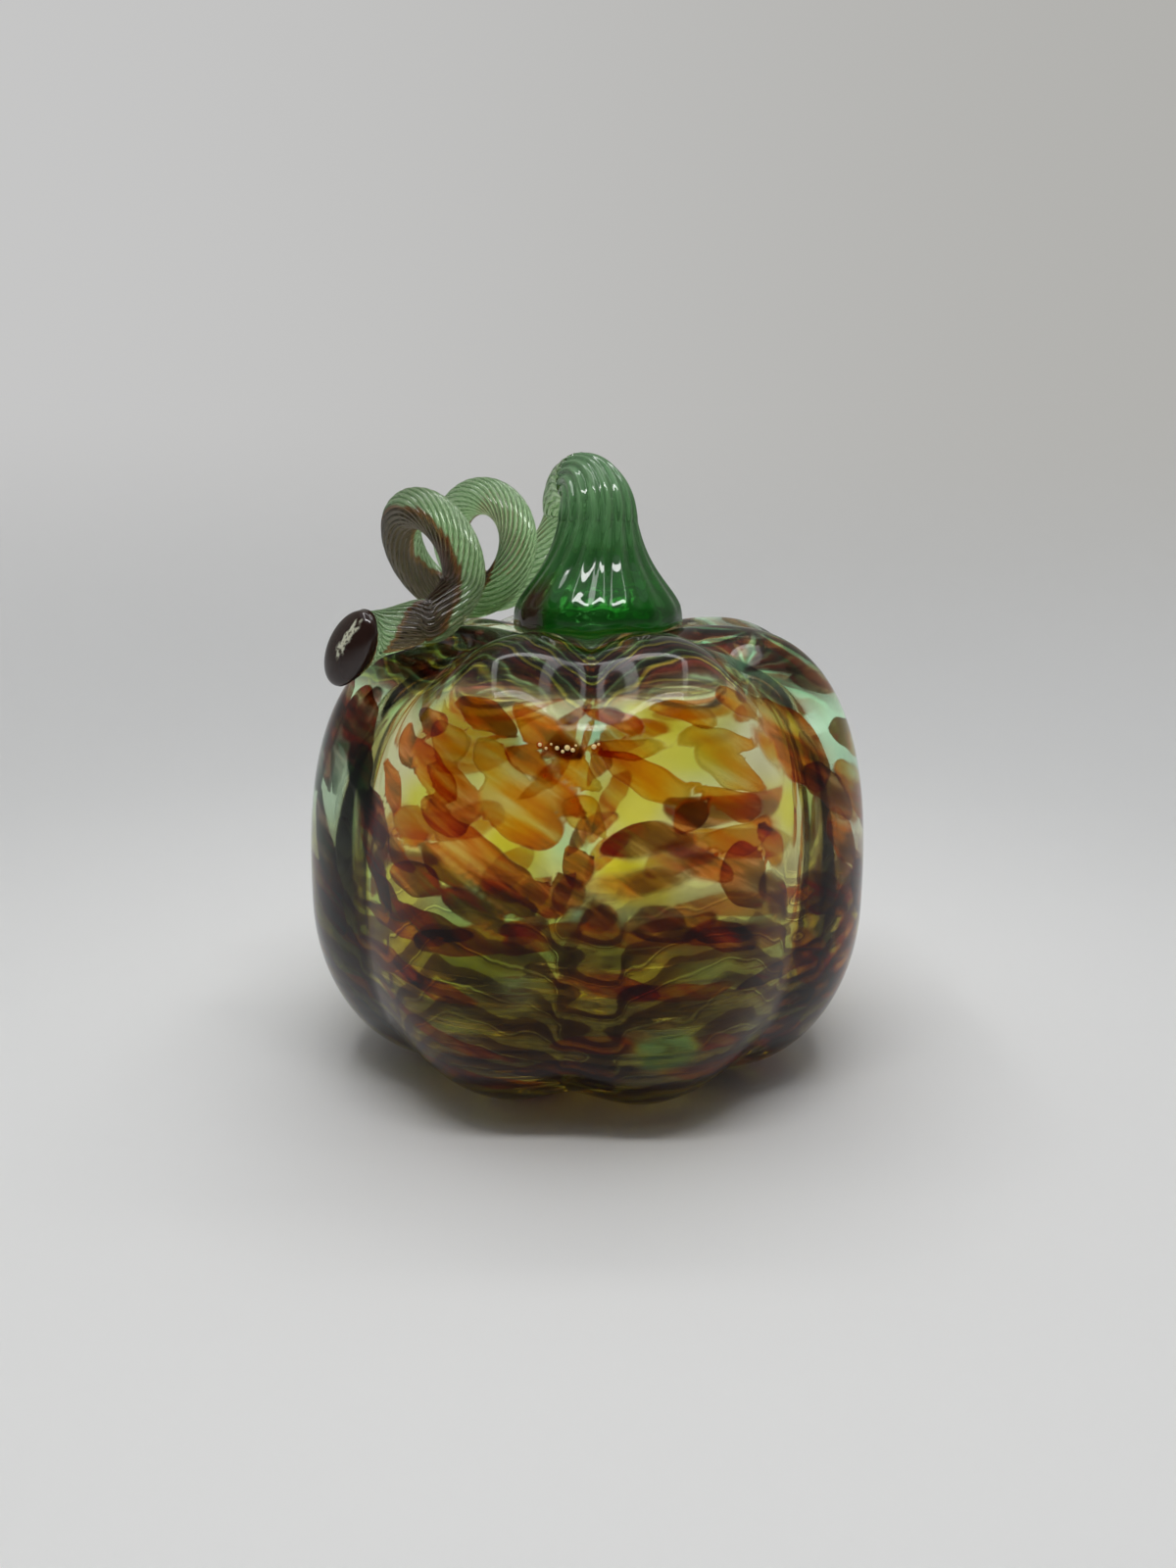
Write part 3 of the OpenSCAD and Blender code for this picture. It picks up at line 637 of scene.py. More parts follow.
# Brown smoke with painted shade, and pale mint: their places in degrees and along the crest, their shares
# and their unevenness
UMBER_LEFT, FOOT_SHADE_ALONG = (-125, -100, -63, -38), (78, 34)
FOOT_ROUND, FOOT_FRONT = 0.2, 0.5
UMBER_LOW, FOOT_SHADE, UMBER_HIGH, UMBER_SIDE, UMBER_WINDOW = 0.22, 0.4, 0.1, 0.2, 0.8
UMBER_UNEVEN, UMBER_ROUND, UMBER_UP = 0.12, 14, 0.18
MINT_RIGHT, MINT_LEFT, MINT_ALONG = (40, 60, 110, 130), (-125, -105, -60, -46), (100, 120)
MINT_ALL, MINT_RIGHT_SHARE, MINT_LEFT_SHARE = 0.03, 0.55, 0.5
MINT_UNEVEN, MINT_ROUND, MINT_UP = 0.15, 9, 0.12


def umber_and_shade_layer(azimuth, along):
    """Brown smoke of the glass and painted shade, deepest at the foot and on the left lobe, thin at the
    windows.
    """
    left = within(azimuth, *UMBER_LEFT)
    # Painted shade at the foot, deeper on the half that faces the front
    deep = share_of(along, *FOOT_SHADE_ALONG) * (FOOT_ROUND + FOOT_FRONT * facing(azimuth))
    shade = UMBER_LOW * low_share(azimuth, along) + FOOT_SHADE * deep
    shade = shade + UMBER_HIGH * high_share(azimuth, along) + UMBER_SIDE * left
    shade = shade - UMBER_WINDOW * soft_layer(LOW_WINDOWS, azimuth, along)
    uneven = wobble(np.radians(azimuth) * UMBER_ROUND, along * UMBER_UP, 1)
    return np.clip(shade + UMBER_UNEVEN * uneven, 0, 1)


def band_layer(azimuth, along):
    """Count of the wavy bands from the foot up: they sag on each lobe and lie wider on the shoulder."""
    turn = np.radians(azimuth)
    low = along < BAND_SPLIT
    wave = waves(turn, BAND_WAVES, np.where(low, LOW_SAG, HIGH_SAG) * np.cos(LOBES * turn))
    crease = (azimuth + 180 / LOBES) % (360 / LOBES) - 180 / LOBES
    # Painted light and shade: a pillar of broken bands at each crease, in place of the fold's lens
    lens_pillar = share_of(np.abs(crease), LENS_PILLAR_HALF, LENS_PILLAR_HALF - LENS_PILLAR_EDGE)
    broken = lens_pillar * (LENS_PILLAR_JUMP + LENS_PILLAR_SWING * np.sin(LENS_PILLAR_BEAT * along))
    wave = wave + np.where(low, broken, HIGH_PEAK * np.exp(-((crease / HIGH_PEAK_HALF) ** 2)))
    return along / np.where(low, LOW_GAP, HIGH_GAP) + wave


def mint_layer(azimuth, along):
    """Pale mint of the two side lobes: high on the right one, all over the left one."""
    right = within(azimuth, *MINT_RIGHT) * share_of(along, *MINT_ALONG)
    left = within(azimuth, *MINT_LEFT)
    uneven = MINT_UNEVEN * wobble(np.radians(azimuth) * MINT_ROUND, along * MINT_UP, 5)
    return np.clip(MINT_ALL + MINT_RIGHT_SHARE * right + MINT_LEFT_SHARE * left + uneven, 0, 1)


def on_wall(work, inner=False, default=0):
    """Values on the outer or the inner skin of the body's grid, and the default on the other."""

    def value(u, v):
        column, along, inside = body_place(u, v)
        azimuth = np.degrees(column + body_lean(crest(crest_z, along)))
        wanted = inside > 0 if inner else inside == 0
        found = np.full(u.shape, float(default))
        found[wanted] = work(azimuth[wanted], along[wanted])
        return found

    return value


OUTER_SMOKE_AND_SHADE = 0.7
BROW_FROM, BROW_FULL = 134, 142
body = wrapped_grid(
    "blown_body",
    BODY_COLS,
    OUTER_ROWS + NECK_ROWS + INNER_ROWS,
    lambda u, v: body_wall(*body_place(u, v)),
    [
        ("chip_1", on_wall(lambda a, t: chip_layer(first_chips, a, t)[0], default=FAR_FROM_CHIP)),
        ("tone_1", on_wall(lambda a, t: chip_layer(first_chips, a, t)[1])),
        ("chip_2", on_wall(lambda a, t: chip_layer(second_chips, a, t)[0], default=FAR_FROM_CHIP)),
        ("tone_2", on_wall(lambda a, t: chip_layer(second_chips, a, t)[1])),
        ("yellow", on_wall(yellow_layer, inner=True)),
        ("aqua", on_wall(lambda a, t: soft_layer(aqua_patches, a, t), inner=True)),
        ("umber", on_wall(umber_and_shade_layer, inner=True)),
        ("smoke", on_wall(lambda a, t: OUTER_SMOKE_AND_SHADE * umber_and_shade_layer(a, t))),
        ("mint", on_wall(mint_layer)),
        ("band", on_wall(band_layer)),
        ("low", on_wall(lambda a, t: low_share(a, t) * (1 - soft_layer(LOW_WINDOWS, a, t)))),
        ("high", on_wall(high_share)),
        ("pane", on_wall(lambda a, t: soft_layer(LOW_PANES, a, t))),
        ("star", on_wall(star_share)),
        ("star_x", on_wall(lambda a, t: star_way(a, t)[0])),
        ("star_y", on_wall(lambda a, t: star_way(a, t)[1])),
        ("brow", on_wall(lambda a, t: share_of(t, BROW_FROM, BROW_FULL))),
    ],
)

CLEAR_GLASS = (0.96, 0.97, 0.93)
YELLOW_GLASS = (0.95, 0.86, 0.14)
AQUA_GLASS = (0.60, 0.90, 0.74)
UMBER_AND_SHADE_GLASS = (0.50, 0.37, 0.07)
MINT_GLASS = (0.60, 0.88, 0.70)
CHIP_TONES = [
    (0.00, (0.80, 0.62, 0.20)), (0.12, (0.84, 0.54, 0.12)), (0.24, (0.84, 0.42, 0.05)),
    (0.40, (0.78, 0.24, 0.03)), (0.52, (0.42, 0.19, 0.05)), (0.64, (0.26, 0.12, 0.04)),
    (0.74, (0.42, 0.06, 0.04)), (0.87, (0.12, 0.04, 0.05)), (1.00, (0.03, 0.07, 0.04)),
]
# Painted shade and light of the lower front: dark and gold bands for the shaded base seen through the wall,
# partly the glass's own brown
LOW_SHADE_BANDS = [
    (0.00, (0.96, 0.88, 0.42)), (0.05, (0.40, 0.24, 0.07)), (0.26, (0.26, 0.13, 0.05)),
    (0.46, (0.36, 0.20, 0.06)), (0.51, (0.78, 0.68, 0.26)), (0.74, (0.84, 0.76, 0.36)),
    (0.90, (0.64, 0.50, 0.16)), (0.95, (0.28, 0.16, 0.06)), (1.00, (0.96, 0.88, 0.42)),
]
HIGH_BANDS = [
    (0.00, (0.17, 0.10, 0.07)), (0.24, (0.42, 0.13, 0.10)), (0.36, (0.16, 0.09, 0.08)),
    (0.43, (0.80, 0.70, 0.20)), (0.52, (0.44, 0.44, 0.16)), (0.57, (0.14, 0.10, 0.07)),
    (0.74, (0.28, 0.30, 0.18)), (0.83, (0.56, 0.74, 0.50)), (0.91, (0.28, 0.20, 0.12)),
    (1.00, (0.17, 0.10, 0.07)),
]
STAR_BANDS = [
    (0.00, (0.36, 0.09, 0.06)), (0.34, (0.58, 0.24, 0.12)), (0.42, (0.90, 0.95, 0.82)),
    (0.62, (0.60, 0.86, 0.68)), (0.69, (0.22, 0.10, 0.08)), (0.90, (0.16, 0.15, 0.09)),
    (1.00, (0.36, 0.09, 0.06)),
]
PANE_YELLOW = (0.86, 0.74, 0.20)
PANE_MINT = (0.50, 0.68, 0.36)
BODY_GLOSS = (0.25, 0.25, 0.24)
GLASS_IOR = 1.5
COLOUR_DEPTH = 2
WALL_ROUGHNESS = 0.05
BROW_ROUGHNESS = 0.022
# How far the coloured glass blocks light: chips, bands and panes, and the most in all
CHIP_DENSE, LOW_DENSE, HIGH_DENSE, PANE_DENSE, MOST_DENSE = 0.2, 0.09, 0.2, 0.12, 0.5
CLOUD_SCALE, CLOUD_SWING = 90, 0.3
BRUSH_TILT = math.radians(33)
BRUSH_SIZE = (0.022, 0.016, 0.003)
BRUSH_SWING = 0.8
BREAK_SWING = 0.4
DRIFT_SCALE, DRIFT_SHARE = 38, 2.4
# A chip's edge in millimetres, crisp in places and soft in others, its thinner streaks and its dark rim
CHIP_EDGE, CHIP_SOFT = 0.22, 2.2
BLUR_SCALE = 55
CRISP_BELOW, SOFT_ABOVE = 0.48, 0.70
THIN_BELOW, FULL_ABOVE, THIN_COVER = 0.25, 0.55, 0.7
RIM_IN, RIM_HALF, RIM_DARK = 0.22, 0.28, 0.2
RIM_BROWN = (0.25, 0.16, 0.08)
PANE_RAGGED = 0.8
PANE_FROM, PANE_FULL = 0.15, 0.85
PANE_MINT_FROM, PANE_MINT_FULL = 0.4, 0.6

recipe = coat(body, "chip_glass")
where = recipe.place()
cloud = recipe.noise(where, CLOUD_SCALE, 4)
stretch = recipe.new("Mapping", Vector=where, Rotation=(0, BRUSH_TILT, 0), Scale=BRUSH_SIZE)
stretch.vector_type = "TEXTURE"
brush = recipe.noise(stretch.outputs["Vector"], 1, 3)
cloudy = recipe.swing(cloud, CLOUD_SWING)
cloudy = recipe.math("ADD", cloudy, recipe.swing(brush, BRUSH_SWING))
colour = recipe.mix("MIX", recipe.value("yellow"), CLEAR_GLASS, YELLOW_GLASS)
colour = recipe.mix("MIX", recipe.value("aqua"), colour, AQUA_GLASS)
# Umber and smoke carry the glass's brown together with painted shade, deepest at the foot
for share, tint in (("umber", UMBER_AND_SHADE_GLASS), ("smoke", UMBER_AND_SHADE_GLASS), ("mint", MINT_GLASS)):
    colour = recipe.mix("MULTIPLY", recipe.value(share), colour, tint)
drift = recipe.noise(where, DRIFT_SCALE, 3)
broken = recipe.swing(cloud, BREAK_SWING)
broken = recipe.math("MULTIPLY_ADD", drift, DRIFT_SHARE, broken)
turns = recipe.math("FRACT", recipe.math("ADD", recipe.value("band"), broken))
for share, stops in (("low", LOW_SHADE_BANDS), ("high", HIGH_BANDS)):
    bands = recipe.ramp(turns, stops)
    colour = recipe.mix("MULTIPLY", recipe.value(share), colour, bands)
star_turn = recipe.math("ARCTAN2", recipe.value("star_y"), recipe.value("star_x"))
star_turn = recipe.math("MULTIPLY_ADD", star_turn, STAR_COUNT / (2 * math.pi), broken)
star_turn = recipe.math("MULTIPLY_ADD", recipe.value("star_y"), STAR_SWIRL, star_turn)
stripes = recipe.ramp(recipe.math("FRACT", star_turn), STAR_BANDS)
colour = recipe.mix("MULTIPLY", recipe.value("star"), colour, stripes)
softer = recipe.range(recipe.noise(where, BLUR_SCALE), CRISP_BELOW, SOFT_ABOVE)
softer = recipe.math("MULTIPLY_ADD", softer, CHIP_SOFT, CHIP_EDGE)
thinner = recipe.range(brush, THIN_BELOW, FULL_ABOVE)
thinner = recipe.math("MULTIPLY_ADD", thinner, 1 - THIN_COVER, THIN_COVER)
dense = recipe.math("MULTIPLY", recipe.value("low"), LOW_DENSE)
for share in ("high", "star"):
    dense = recipe.math("MULTIPLY_ADD", recipe.value(share), HIGH_DENSE, dense)
for layer in ("1", "2"):
    edge = recipe.value("chip_" + layer)
    tone = recipe.math("ADD", recipe.value("tone_" + layer), cloudy)
    tint = recipe.ramp(tone, CHIP_TONES)
    cover = recipe.math("SUBTRACT", 0.5, recipe.math("DIVIDE", edge, softer))
    cover = recipe.math("MULTIPLY", recipe.range(cover, 0.0, 1.0), thinner)
    dense = recipe.math("MULTIPLY_ADD", cover, CHIP_DENSE, dense)
    colour = recipe.mix("MULTIPLY", cover, colour, tint)
    rim = recipe.math("ABSOLUTE", recipe.math("ADD", edge, RIM_IN))
    rim = recipe.math("SUBTRACT", 1.0, recipe.math("DIVIDE", rim, RIM_HALF))
    rim = recipe.math("MULTIPLY", recipe.math("MAXIMUM", rim, 0.0), RIM_DARK)
    colour = recipe.mix("MULTIPLY", rim, colour, RIM_BROWN)
pane = recipe.math("MULTIPLY_ADD", cloudy, PANE_RAGGED, recipe.value("pane"))
pane = recipe.range(pane, PANE_FROM, PANE_FULL)
minty = recipe.range(cloud, PANE_MINT_FROM, PANE_MINT_FULL)
pane_tint = recipe.mix("MIX", minty, PANE_YELLOW, PANE_MINT)
colour = recipe.mix("MIX", pane, colour, pane_tint)
dense = recipe.math("MULTIPLY_ADD", pane, PANE_DENSE, dense)
deep = recipe.new("Gamma", Color=colour, Gamma=COLOUR_DEPTH).outputs["Color"]
brow = recipe.math("MULTIPLY_ADD", recipe.value("brow"), BROW_ROUGHNESS, WALL_ROUGHNESS)
clear = recipe.math("SUBTRACT", 1.0, recipe.math("MINIMUM", dense, MOST_DENSE))
recipe.give(Base_Color=deep, Roughness=brow, Transmission_Weight=clear)
recipe.give(IOR=GLASS_IOR, Specular_Tint=BODY_GLOSS)
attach(body, "root")
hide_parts("body", "amber_chips", "maroon_chips", "yellow_chips", "aqua_chips")


# Air bubbles: a few were caught between two layers of glass at the front, just under the shoulder.
# They are hollow places in the wall, round and bright; here they are solid spheres of pale opaque colour, a
# painted glint in place of the light that the air in them catches.
BUBBLES = [
    (-9.2, 131.6, 0.85), (-8.0, 131.0, 0.55), (-7.1, 131.9, 0.45), (-6.0, 131.2, 0.75), (-4.9, 130.6, 0.6),
    (-4.1, 131.4, 0.95), (-3.0, 131.0, 0.7), (-2.4, 132.0, 0.4), (1.2, 131.8, 0.8), (2.1, 132.3, 0.45),
]
BUBBLE_DEEP = 0.9
BUBBLE_SIZE = 0.75
BUBBLE_SPLITS = 3
GLINT_SCALE = 400
GLINT_PALE = (0.96, 0.76, 0.36)
GLINT_AMBER = (0.92, 0.62, 0.22)
FILM_ROUGHNESS = 0.15
bubbles = []
for bubble_azimuth, bubble_along, bubble_r in BUBBLES:
    column = np.radians(bubble_azimuth) - body_lean(crest(crest_z, bubble_along))
    inside = np.array([BUBBLE_DEEP * BUBBLE_SIZE * bubble_r / WALL_T])
    spot = body_wall(np.array([column]), np.array([bubble_along]), inside)[0] * MM
    bpy.ops.mesh.primitive_ico_sphere_add(
        subdivisions=BUBBLE_SPLITS, radius=BUBBLE_SIZE * bubble_r * MM, location=spot
    )
    bpy.ops.object.transform_apply(location=True, rotation=True, scale=True)
    bpy.ops.object.shade_smooth()
    bubbles.append(bpy.context.object)
bpy.ops.object.select_all(action="DESELECT")
for bubble in bubbles:
    bubble.select_set(True)
bpy.context.view_layer.objects.active = bubbles[0]
bpy.ops.object.join()
air = bpy.context.object
air.name = "air_bubbles"
recipe = coat(air, "air_in_glass")
# Painted glint: the bubbles' pale opaque colour stands in for how air in glass catches the light
glint_noise = recipe.noise(recipe.place(), GLINT_SCALE)
colour = recipe.mix("MIX", glint_noise, GLINT_PALE, GLINT_AMBER)
recipe.give(Base_Color=colour, Roughness=FILM_ROUGHNESS)
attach(air, "root")


# Stem: a solid bit of deep green glass with soft ribs from an optic mould, set hot over the neck,
# which its plug fills, and drawn up and over at the top.
STEM_FOOT_R = 19.0
STEM_TOP_R = 6.3
STEM_H = 37.0
FLARE_H = 11.0
FLARE_POWER = 2.2
STEM_X = 2.2
BEND_R = 9.0
BEND_WAY = math.radians(114)
PLUG_L = 6.0
SEAT_GAP = 0.3
RIM_ROUND = 1.2
COIL_TURN = math.radians(20)
BELL_Z = BODY_H + RIM_ROUND
BEND_Z = BODY_H + STEM_H - STEM_TOP_R - BEND_R
STEM_RIBS = 18
STEM_RIB = 0.26
STEM_TWIST = math.radians(14)
BEND_TWIST = 1.5
RIB_LOW, RIB_RISE = 0.25, 0.25
FOOT_EASE = 0.12
STEM_COLS = 216
STEM_ROWS = 150
LOOP_FRONT = np.array([-math.sin(COIL_TURN), -math.cos(COIL_TURN), 0])
UP = np.array([0.0, 0.0, 1.0])
BEND_DIRECTION = np.array([math.cos(BEND_WAY), math.sin(BEND_WAY), 0])


def bell_r(z):
    flare = (np.maximum(z - BELL_Z, 0) / FLARE_H) ** FLARE_POWER
    return STEM_TOP_R + (STEM_FOOT_R - STEM_TOP_R) / (1 + flare)


def bend_point(angle):
    angle = np.asarray(angle, float)[..., None]
    start = np.array([STEM_X, 0, BEND_Z])
    return start + BEND_R * (np.sin(angle) * UP + (1 - np.cos(angle)) * BEND_DIRECTION)


def bend_along(angle):
    angle = np.asarray(angle, float)[..., None]
    return np.cos(angle) * UP + np.sin(angle) * BEND_DIRECTION


def ring_frame(along):
    """Two directions across a tube: towards the front of the loops, and the one square to it."""
    u = LOOP_FRONT - (along @ LOOP_FRONT)[:, None] * along
    u /= np.linalg.norm(u, axis=1, keepdims=True)
    return u, np.cross(along, u)


def crown_top(x, y):
    r = np.hypot(x, y)
    column = np.arctan2(y, x) + math.pi / 2 - TOP_LEAN
    crest_top = BODY_H - CROWN_DIP * crown_share(r) ** 2
    return crest_top - CREASE_DEPTH * crease_dip(column) * (1 - crown_share(r)) ** 2


PLUG_SHARE, SEAT_SHARE, RIM_SHARE, BELL_SHARE, BEND_SHARE = 0.06, 0.16, 0.20, 0.72, 0.97


def stem_way(v):
    """Share of the way up the bell and round the bend, and how far the ribs have turned there."""
    rise, bend = share_of(v, RIM_SHARE, BELL_SHARE), share_of(v, BELL_SHARE, BEND_SHARE)
    return rise, bend, STEM_TWIST * (rise**2 + BEND_TWIST * bend)


def stem_place(u, v):
    """The stem's skin by its share of the way: plug, seat on the crown, rim, bell, bend and end."""
    q = 2 * math.pi * u
    points = np.zeros((len(u), 3))
    across = np.cos(q)[:, None] * LOOP_FRONT + np.sin(q)[:, None] * np.cross(UP, LOOP_FRONT)
    plug_r = NECK_R - SEAT_GAP
    seat = share_of(v, PLUG_SHARE, SEAT_SHARE)
    rim = share_of(v, SEAT_SHARE, RIM_SHARE)
    r = plug_r * share_of(v, 0, PLUG_SHARE)
    r = r + (STEM_FOOT_R - RIM_ROUND - plug_r) * seat + RIM_ROUND * np.sin(rim * math.pi / 2)
    x = STEM_X * seat + r * across[:, 0]
    y = r * across[:, 1]
    seated = crown_top(x, y) + SEAT_GAP + RIM_ROUND * (1 - np.cos(rim * math.pi / 2))
    low_z = np.where(v <= PLUG_SHARE, BODY_H - CROWN_DIP - PLUG_L, seated)
    points[:, 0], points[:, 1], points[:, 2] = x, y, low_z
    high = v > RIM_SHARE
    rise, bend, twist = stem_way(v)
    close = share_of(v, BEND_SHARE, 1)
    angle = bend * math.pi / 2
    z = np.where(rise < 1, BELL_Z + (BEND_Z - BELL_Z) * rise, BEND_Z)
    middle = np.where((rise < 1)[:, None], np.stack([STEM_X + 0 * z, 0 * z, z], -1), bend_point(angle))
    ease = bend**2 * (3 - 2 * bend)
    tube_r = np.where(rise < 1, bell_r(z), bell_r(BEND_Z) + (STEM_TOP_R - bell_r(BEND_Z)) * ease)
    ribbed = STEM_RIB * np.clip(rise / RIB_RISE, RIB_LOW, 1) * (1 - close)
    tube_r = (tube_r + ribbed * np.cos(STEM_RIBS * (q - twist)) - ribbed) * (1 - close)
    out_u, out_w = ring_frame(bend_along(angle))
    tube = middle + tube_r[:, None] * (np.cos(q)[:, None] * out_u + np.sin(q)[:, None] * out_w)
    points[high] = tube[high]
    foot = (seated - BELL_Z) * share_of(rise, FOOT_EASE, 0)
    points[high, 2] += foot[high]
    return points


RIB_SHOWS = 0.5
FLANK_AT, FLANK_HALF, FLANK_CORE = -34, 19, 9
FLANK_FADES, FLANK_TOP = 0.30, 0.55


def stem_height(u, v):
    return share_of(v, RIM_SHARE, BEND_SHARE)


def stem_rib(u, v):
    rise, _, twist = stem_way(v)
    return (0.5 + 0.5 * np.cos(STEM_RIBS * (2 * math.pi * u - twist))) * share_of(rise, 0, RIB_SHOWS)


def stem_flank(u, v):
    """The brown streak on the left flank, from the foot to half way up."""
    away = np.abs(turn_from(np.degrees(2 * math.pi * u), FLANK_AT))
    rise = share_of(v, SEAT_SHARE, BELL_SHARE)
    return share_of(away, FLANK_HALF, FLANK_CORE) * share_of(rise, FLANK_TOP, FLANK_FADES)


stem = wrapped_grid(
    "green_stem",
    STEM_COLS,
    STEM_ROWS,
    stem_place,
    [("height", stem_height), ("rib", stem_rib), ("flank", stem_flank)],
)
STEM_GREENS = [
    (0.00, (0.012, 0.22, 0.012)),
    (0.30, (0.05, 0.24, 0.05)),
    (0.65, (0.15, 0.37, 0.14)),
    (1.00, (0.34, 0.58, 0.32)),
]
STEM_GROOVE_SHADE = (0.35, 0.5, 0.38)
STEM_BROWN = (0.085, 0.038, 0.026)
STEM_CLOUD, STEM_SWING = 120, 0.3
GROOVE_SHADE_SHARE = 0.6
STEM_ROUGHNESS = 0.04
STEM_THROUGH = 0.55
recipe = coat(stem, "deep_green_glass")
cloud = recipe.noise(recipe.place(), STEM_CLOUD, 3)
share = recipe.swing(cloud, STEM_SWING)
share = recipe.math("ADD", share, recipe.value("height"))
greens = recipe.ramp(share, STEM_GREENS)
# Painted shade: the grooves between the ribs are darker
groove_shade = recipe.math("SUBTRACT", 1.0, recipe.value("rib"))
groove_shade = recipe.math("MULTIPLY", groove_shade, GROOVE_SHADE_SHARE)
colour = recipe.mix("MULTIPLY", groove_shade, greens, STEM_GROOVE_SHADE)
colour = recipe.mix("MIX", recipe.value("flank"), colour, STEM_BROWN)
recipe.give(Base_Color=colour, Roughness=STEM_ROUGHNESS, IOR=GLASS_IOR, Transmission_Weight=STEM_THROUGH)
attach(stem, "root")
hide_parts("stem")


# Vine: pale green glass drawn from the stem's tip while it was turned, so that its fine ribs wind round it,
# then looped twice, laid on the shoulder and sheared off. A dark brown streak of glass runs along it.
VINE_R = 4.0
VINE_END_R = 4.5
COIL_R = 10.8
COIL_SHRINK = 1.5
COIL_STEP = 8.9
COIL_LEAN = math.radians(24)
COIL_ADVANCE = 18.0
COIL_LIFT = 0.6
VINE_GAP = 0.6
COIL_Y = 0.065 * COIL_R
COIL_FIRST, COIL_LAST, COIL_ANGLE_STEP = -75, 585, 30
LIMB_HEIGHTS = [0.6, 0.25]
LIMB_TURN = math.radians(14)
TAIL_ROUTE = [(80, 51, 0), (75, 53, 0), (69, 55.5, 0), (63.5, 57.5, 0.09), (57.5, 58, 0.22)]
TAIL_BEDDING = 0.8
ROUTE_SPLITS = 12
VINE_COLS = 198
VINE_RIBS = 22
VINE_RIB = 0.34
RIB_LEVEL = 0.85
RIB_PITCH = 2.3
COIL_LOW = BODY_H + COIL_LIFT + VINE_END_R
coil_turns = np.radians(np.arange(180, 256, 15))
COIL_X = STEM_X - VINE_GAP - VINE_END_R - np.max(
    bell_r(COIL_LOW + COIL_R * (1 + np.sin(coil_turns))) - COIL_R * math.cos(COIL_TURN) * np.cos(coil_turns)
)


def coil_point(s):
    turns = (s - 180) / 360
    r = COIL_R - COIL_SHRINK * turns
    c, h = math.cos(math.radians(s)), math.sin(math.radians(s))
    lean = max(turns, 0) * math.tan(COIL_LEAN)
    return (
        COIL_X - COIL_STEP * turns - r * (math.cos(COIL_TURN) * c + lean * h),
        COIL_Y - COIL_ADVANCE * turns + r * math.sin(COIL_TURN) * c,
        COIL_LOW + r * (1 + h),
    )


def limb_point(share, k):
    z = COIL_LOW + (BEND_Z - COIL_LOW) * share
    away = max(2 * BEND_R, float(bell_r(z - VINE_END_R / 2)) + VINE_END_R + VINE_GAP)
    a = BEND_WAY + LIMB_TURN * (k + 1)
    return (STEM_X + away * math.cos(a), away * math.sin(a), z)


def tail_point(level, around, rise):
    a = math.radians(level)
    r, z = (float(x) for x in side(np.array(a)))
    column = -math.radians(around) - body_lean(z)
    lift = VINE_END_R + VINE_GAP + rise * 2 * VINE_END_R - TAIL_BEDDING * CREASE_DEPTH * crease_dip(column)
    step = math.radians(0.5)
    r0, z0 = side(np.array(a - step))
    r1, z1 = side(np.array(a + step))
    length = math.hypot(r1 - r0, z1 - z0)
    r += lift * (z1 - z0) / length
    z -= lift * (r1 - r0) / length
    return (-r * math.sin(math.radians(around)), -r * math.cos(math.radians(around)), z)


route = np.array(
    [tuple(bend_point(math.radians(b))) for b in range(90, 181, 30)]
    + [limb_point(share, k) for k, share in enumerate(LIMB_HEIGHTS)]
    + [coil_point(s) for s in range(COIL_FIRST, COIL_LAST + 1, COIL_ANGLE_STEP)]
    + [tail_point(*place) for place in TAIL_ROUTE]
)


def smooth_route(points, splits):
    """Curve through the points, and the route's point number at each of its own."""
    last = len(points) - 1
    at = np.linspace(0, last, last * splits + 1)
    k = np.minimum(at.astype(int), last - 1)
    s = (at - k)[:, None]
    a, b, c, d = (points[np.clip(k + step, 0, last)] for step in (-1, 0, 1, 2))
    square, cube = 2 * a - 5 * b + 4 * c - d, 3 * b - a - 3 * c + d
    return 0.5 * (2 * b + (c - a) * s + square * s**2 + cube * s**3), at


spine, spine_at = smooth_route(route, ROUTE_SPLITS)
spine_along = np.gradient(spine, axis=0)
spine_along[0] = BEND_DIRECTION
spine_along /= np.linalg.norm(spine_along, axis=1, keepdims=True)
spine_length = np.concatenate([[0], np.cumsum(np.linalg.norm(np.diff(spine, axis=0), axis=1))])
THIN_POINTS = 8
thin = share_of(spine_at, 0, THIN_POINTS)
thin = thin**2 * (3 - 2 * thin)
thick = share_of(spine_at, THIN_POINTS, len(route) - 1)
spine_r = STEM_TOP_R + (VINE_R - STEM_TOP_R) * thin + (VINE_END_R - VINE_R) * thick
# The end is swollen and cut off slantwise: its face looks to the left and front, and bulges a little
SWELL_L = 9.0
SWELL = 1.3
SLANT_POWER = 1.5
RIBS_END = 4.0
CUT_BACK = 0.8
CUT_BULGE = 2.9
CUT_RINGS = 20
CUT_FACE = np.array([-0.60, -0.76, 0.22])
to_end = spine_length[-1] - spine_length
swollen = share_of(to_end, SWELL_L, 0)
spine_r = spine_r + SWELL * swollen**2
end_along = spine_along[-1]
cut_way = CUT_FACE / np.linalg.norm(CUT_FACE)
cut_slope = math.tan(math.acos(float(cut_way @ end_along)))
cut_side = cut_way - (cut_way @ end_along) * end_along
cut_side /= np.linalg.norm(cut_side)
cut_across = np.cross(end_along, cut_side)
face_share = np.cos(np.linspace(0, math.pi / 2, CUT_RINGS + 1)[1:])


def to_cut(values, face):
    """A value of every ring of the vine: 0 at its closed start, then along it, then on the cut face."""
    return np.concatenate([[0], np.broadcast_to(values, len(spine)), np.broadcast_to(face, CUT_RINGS)])


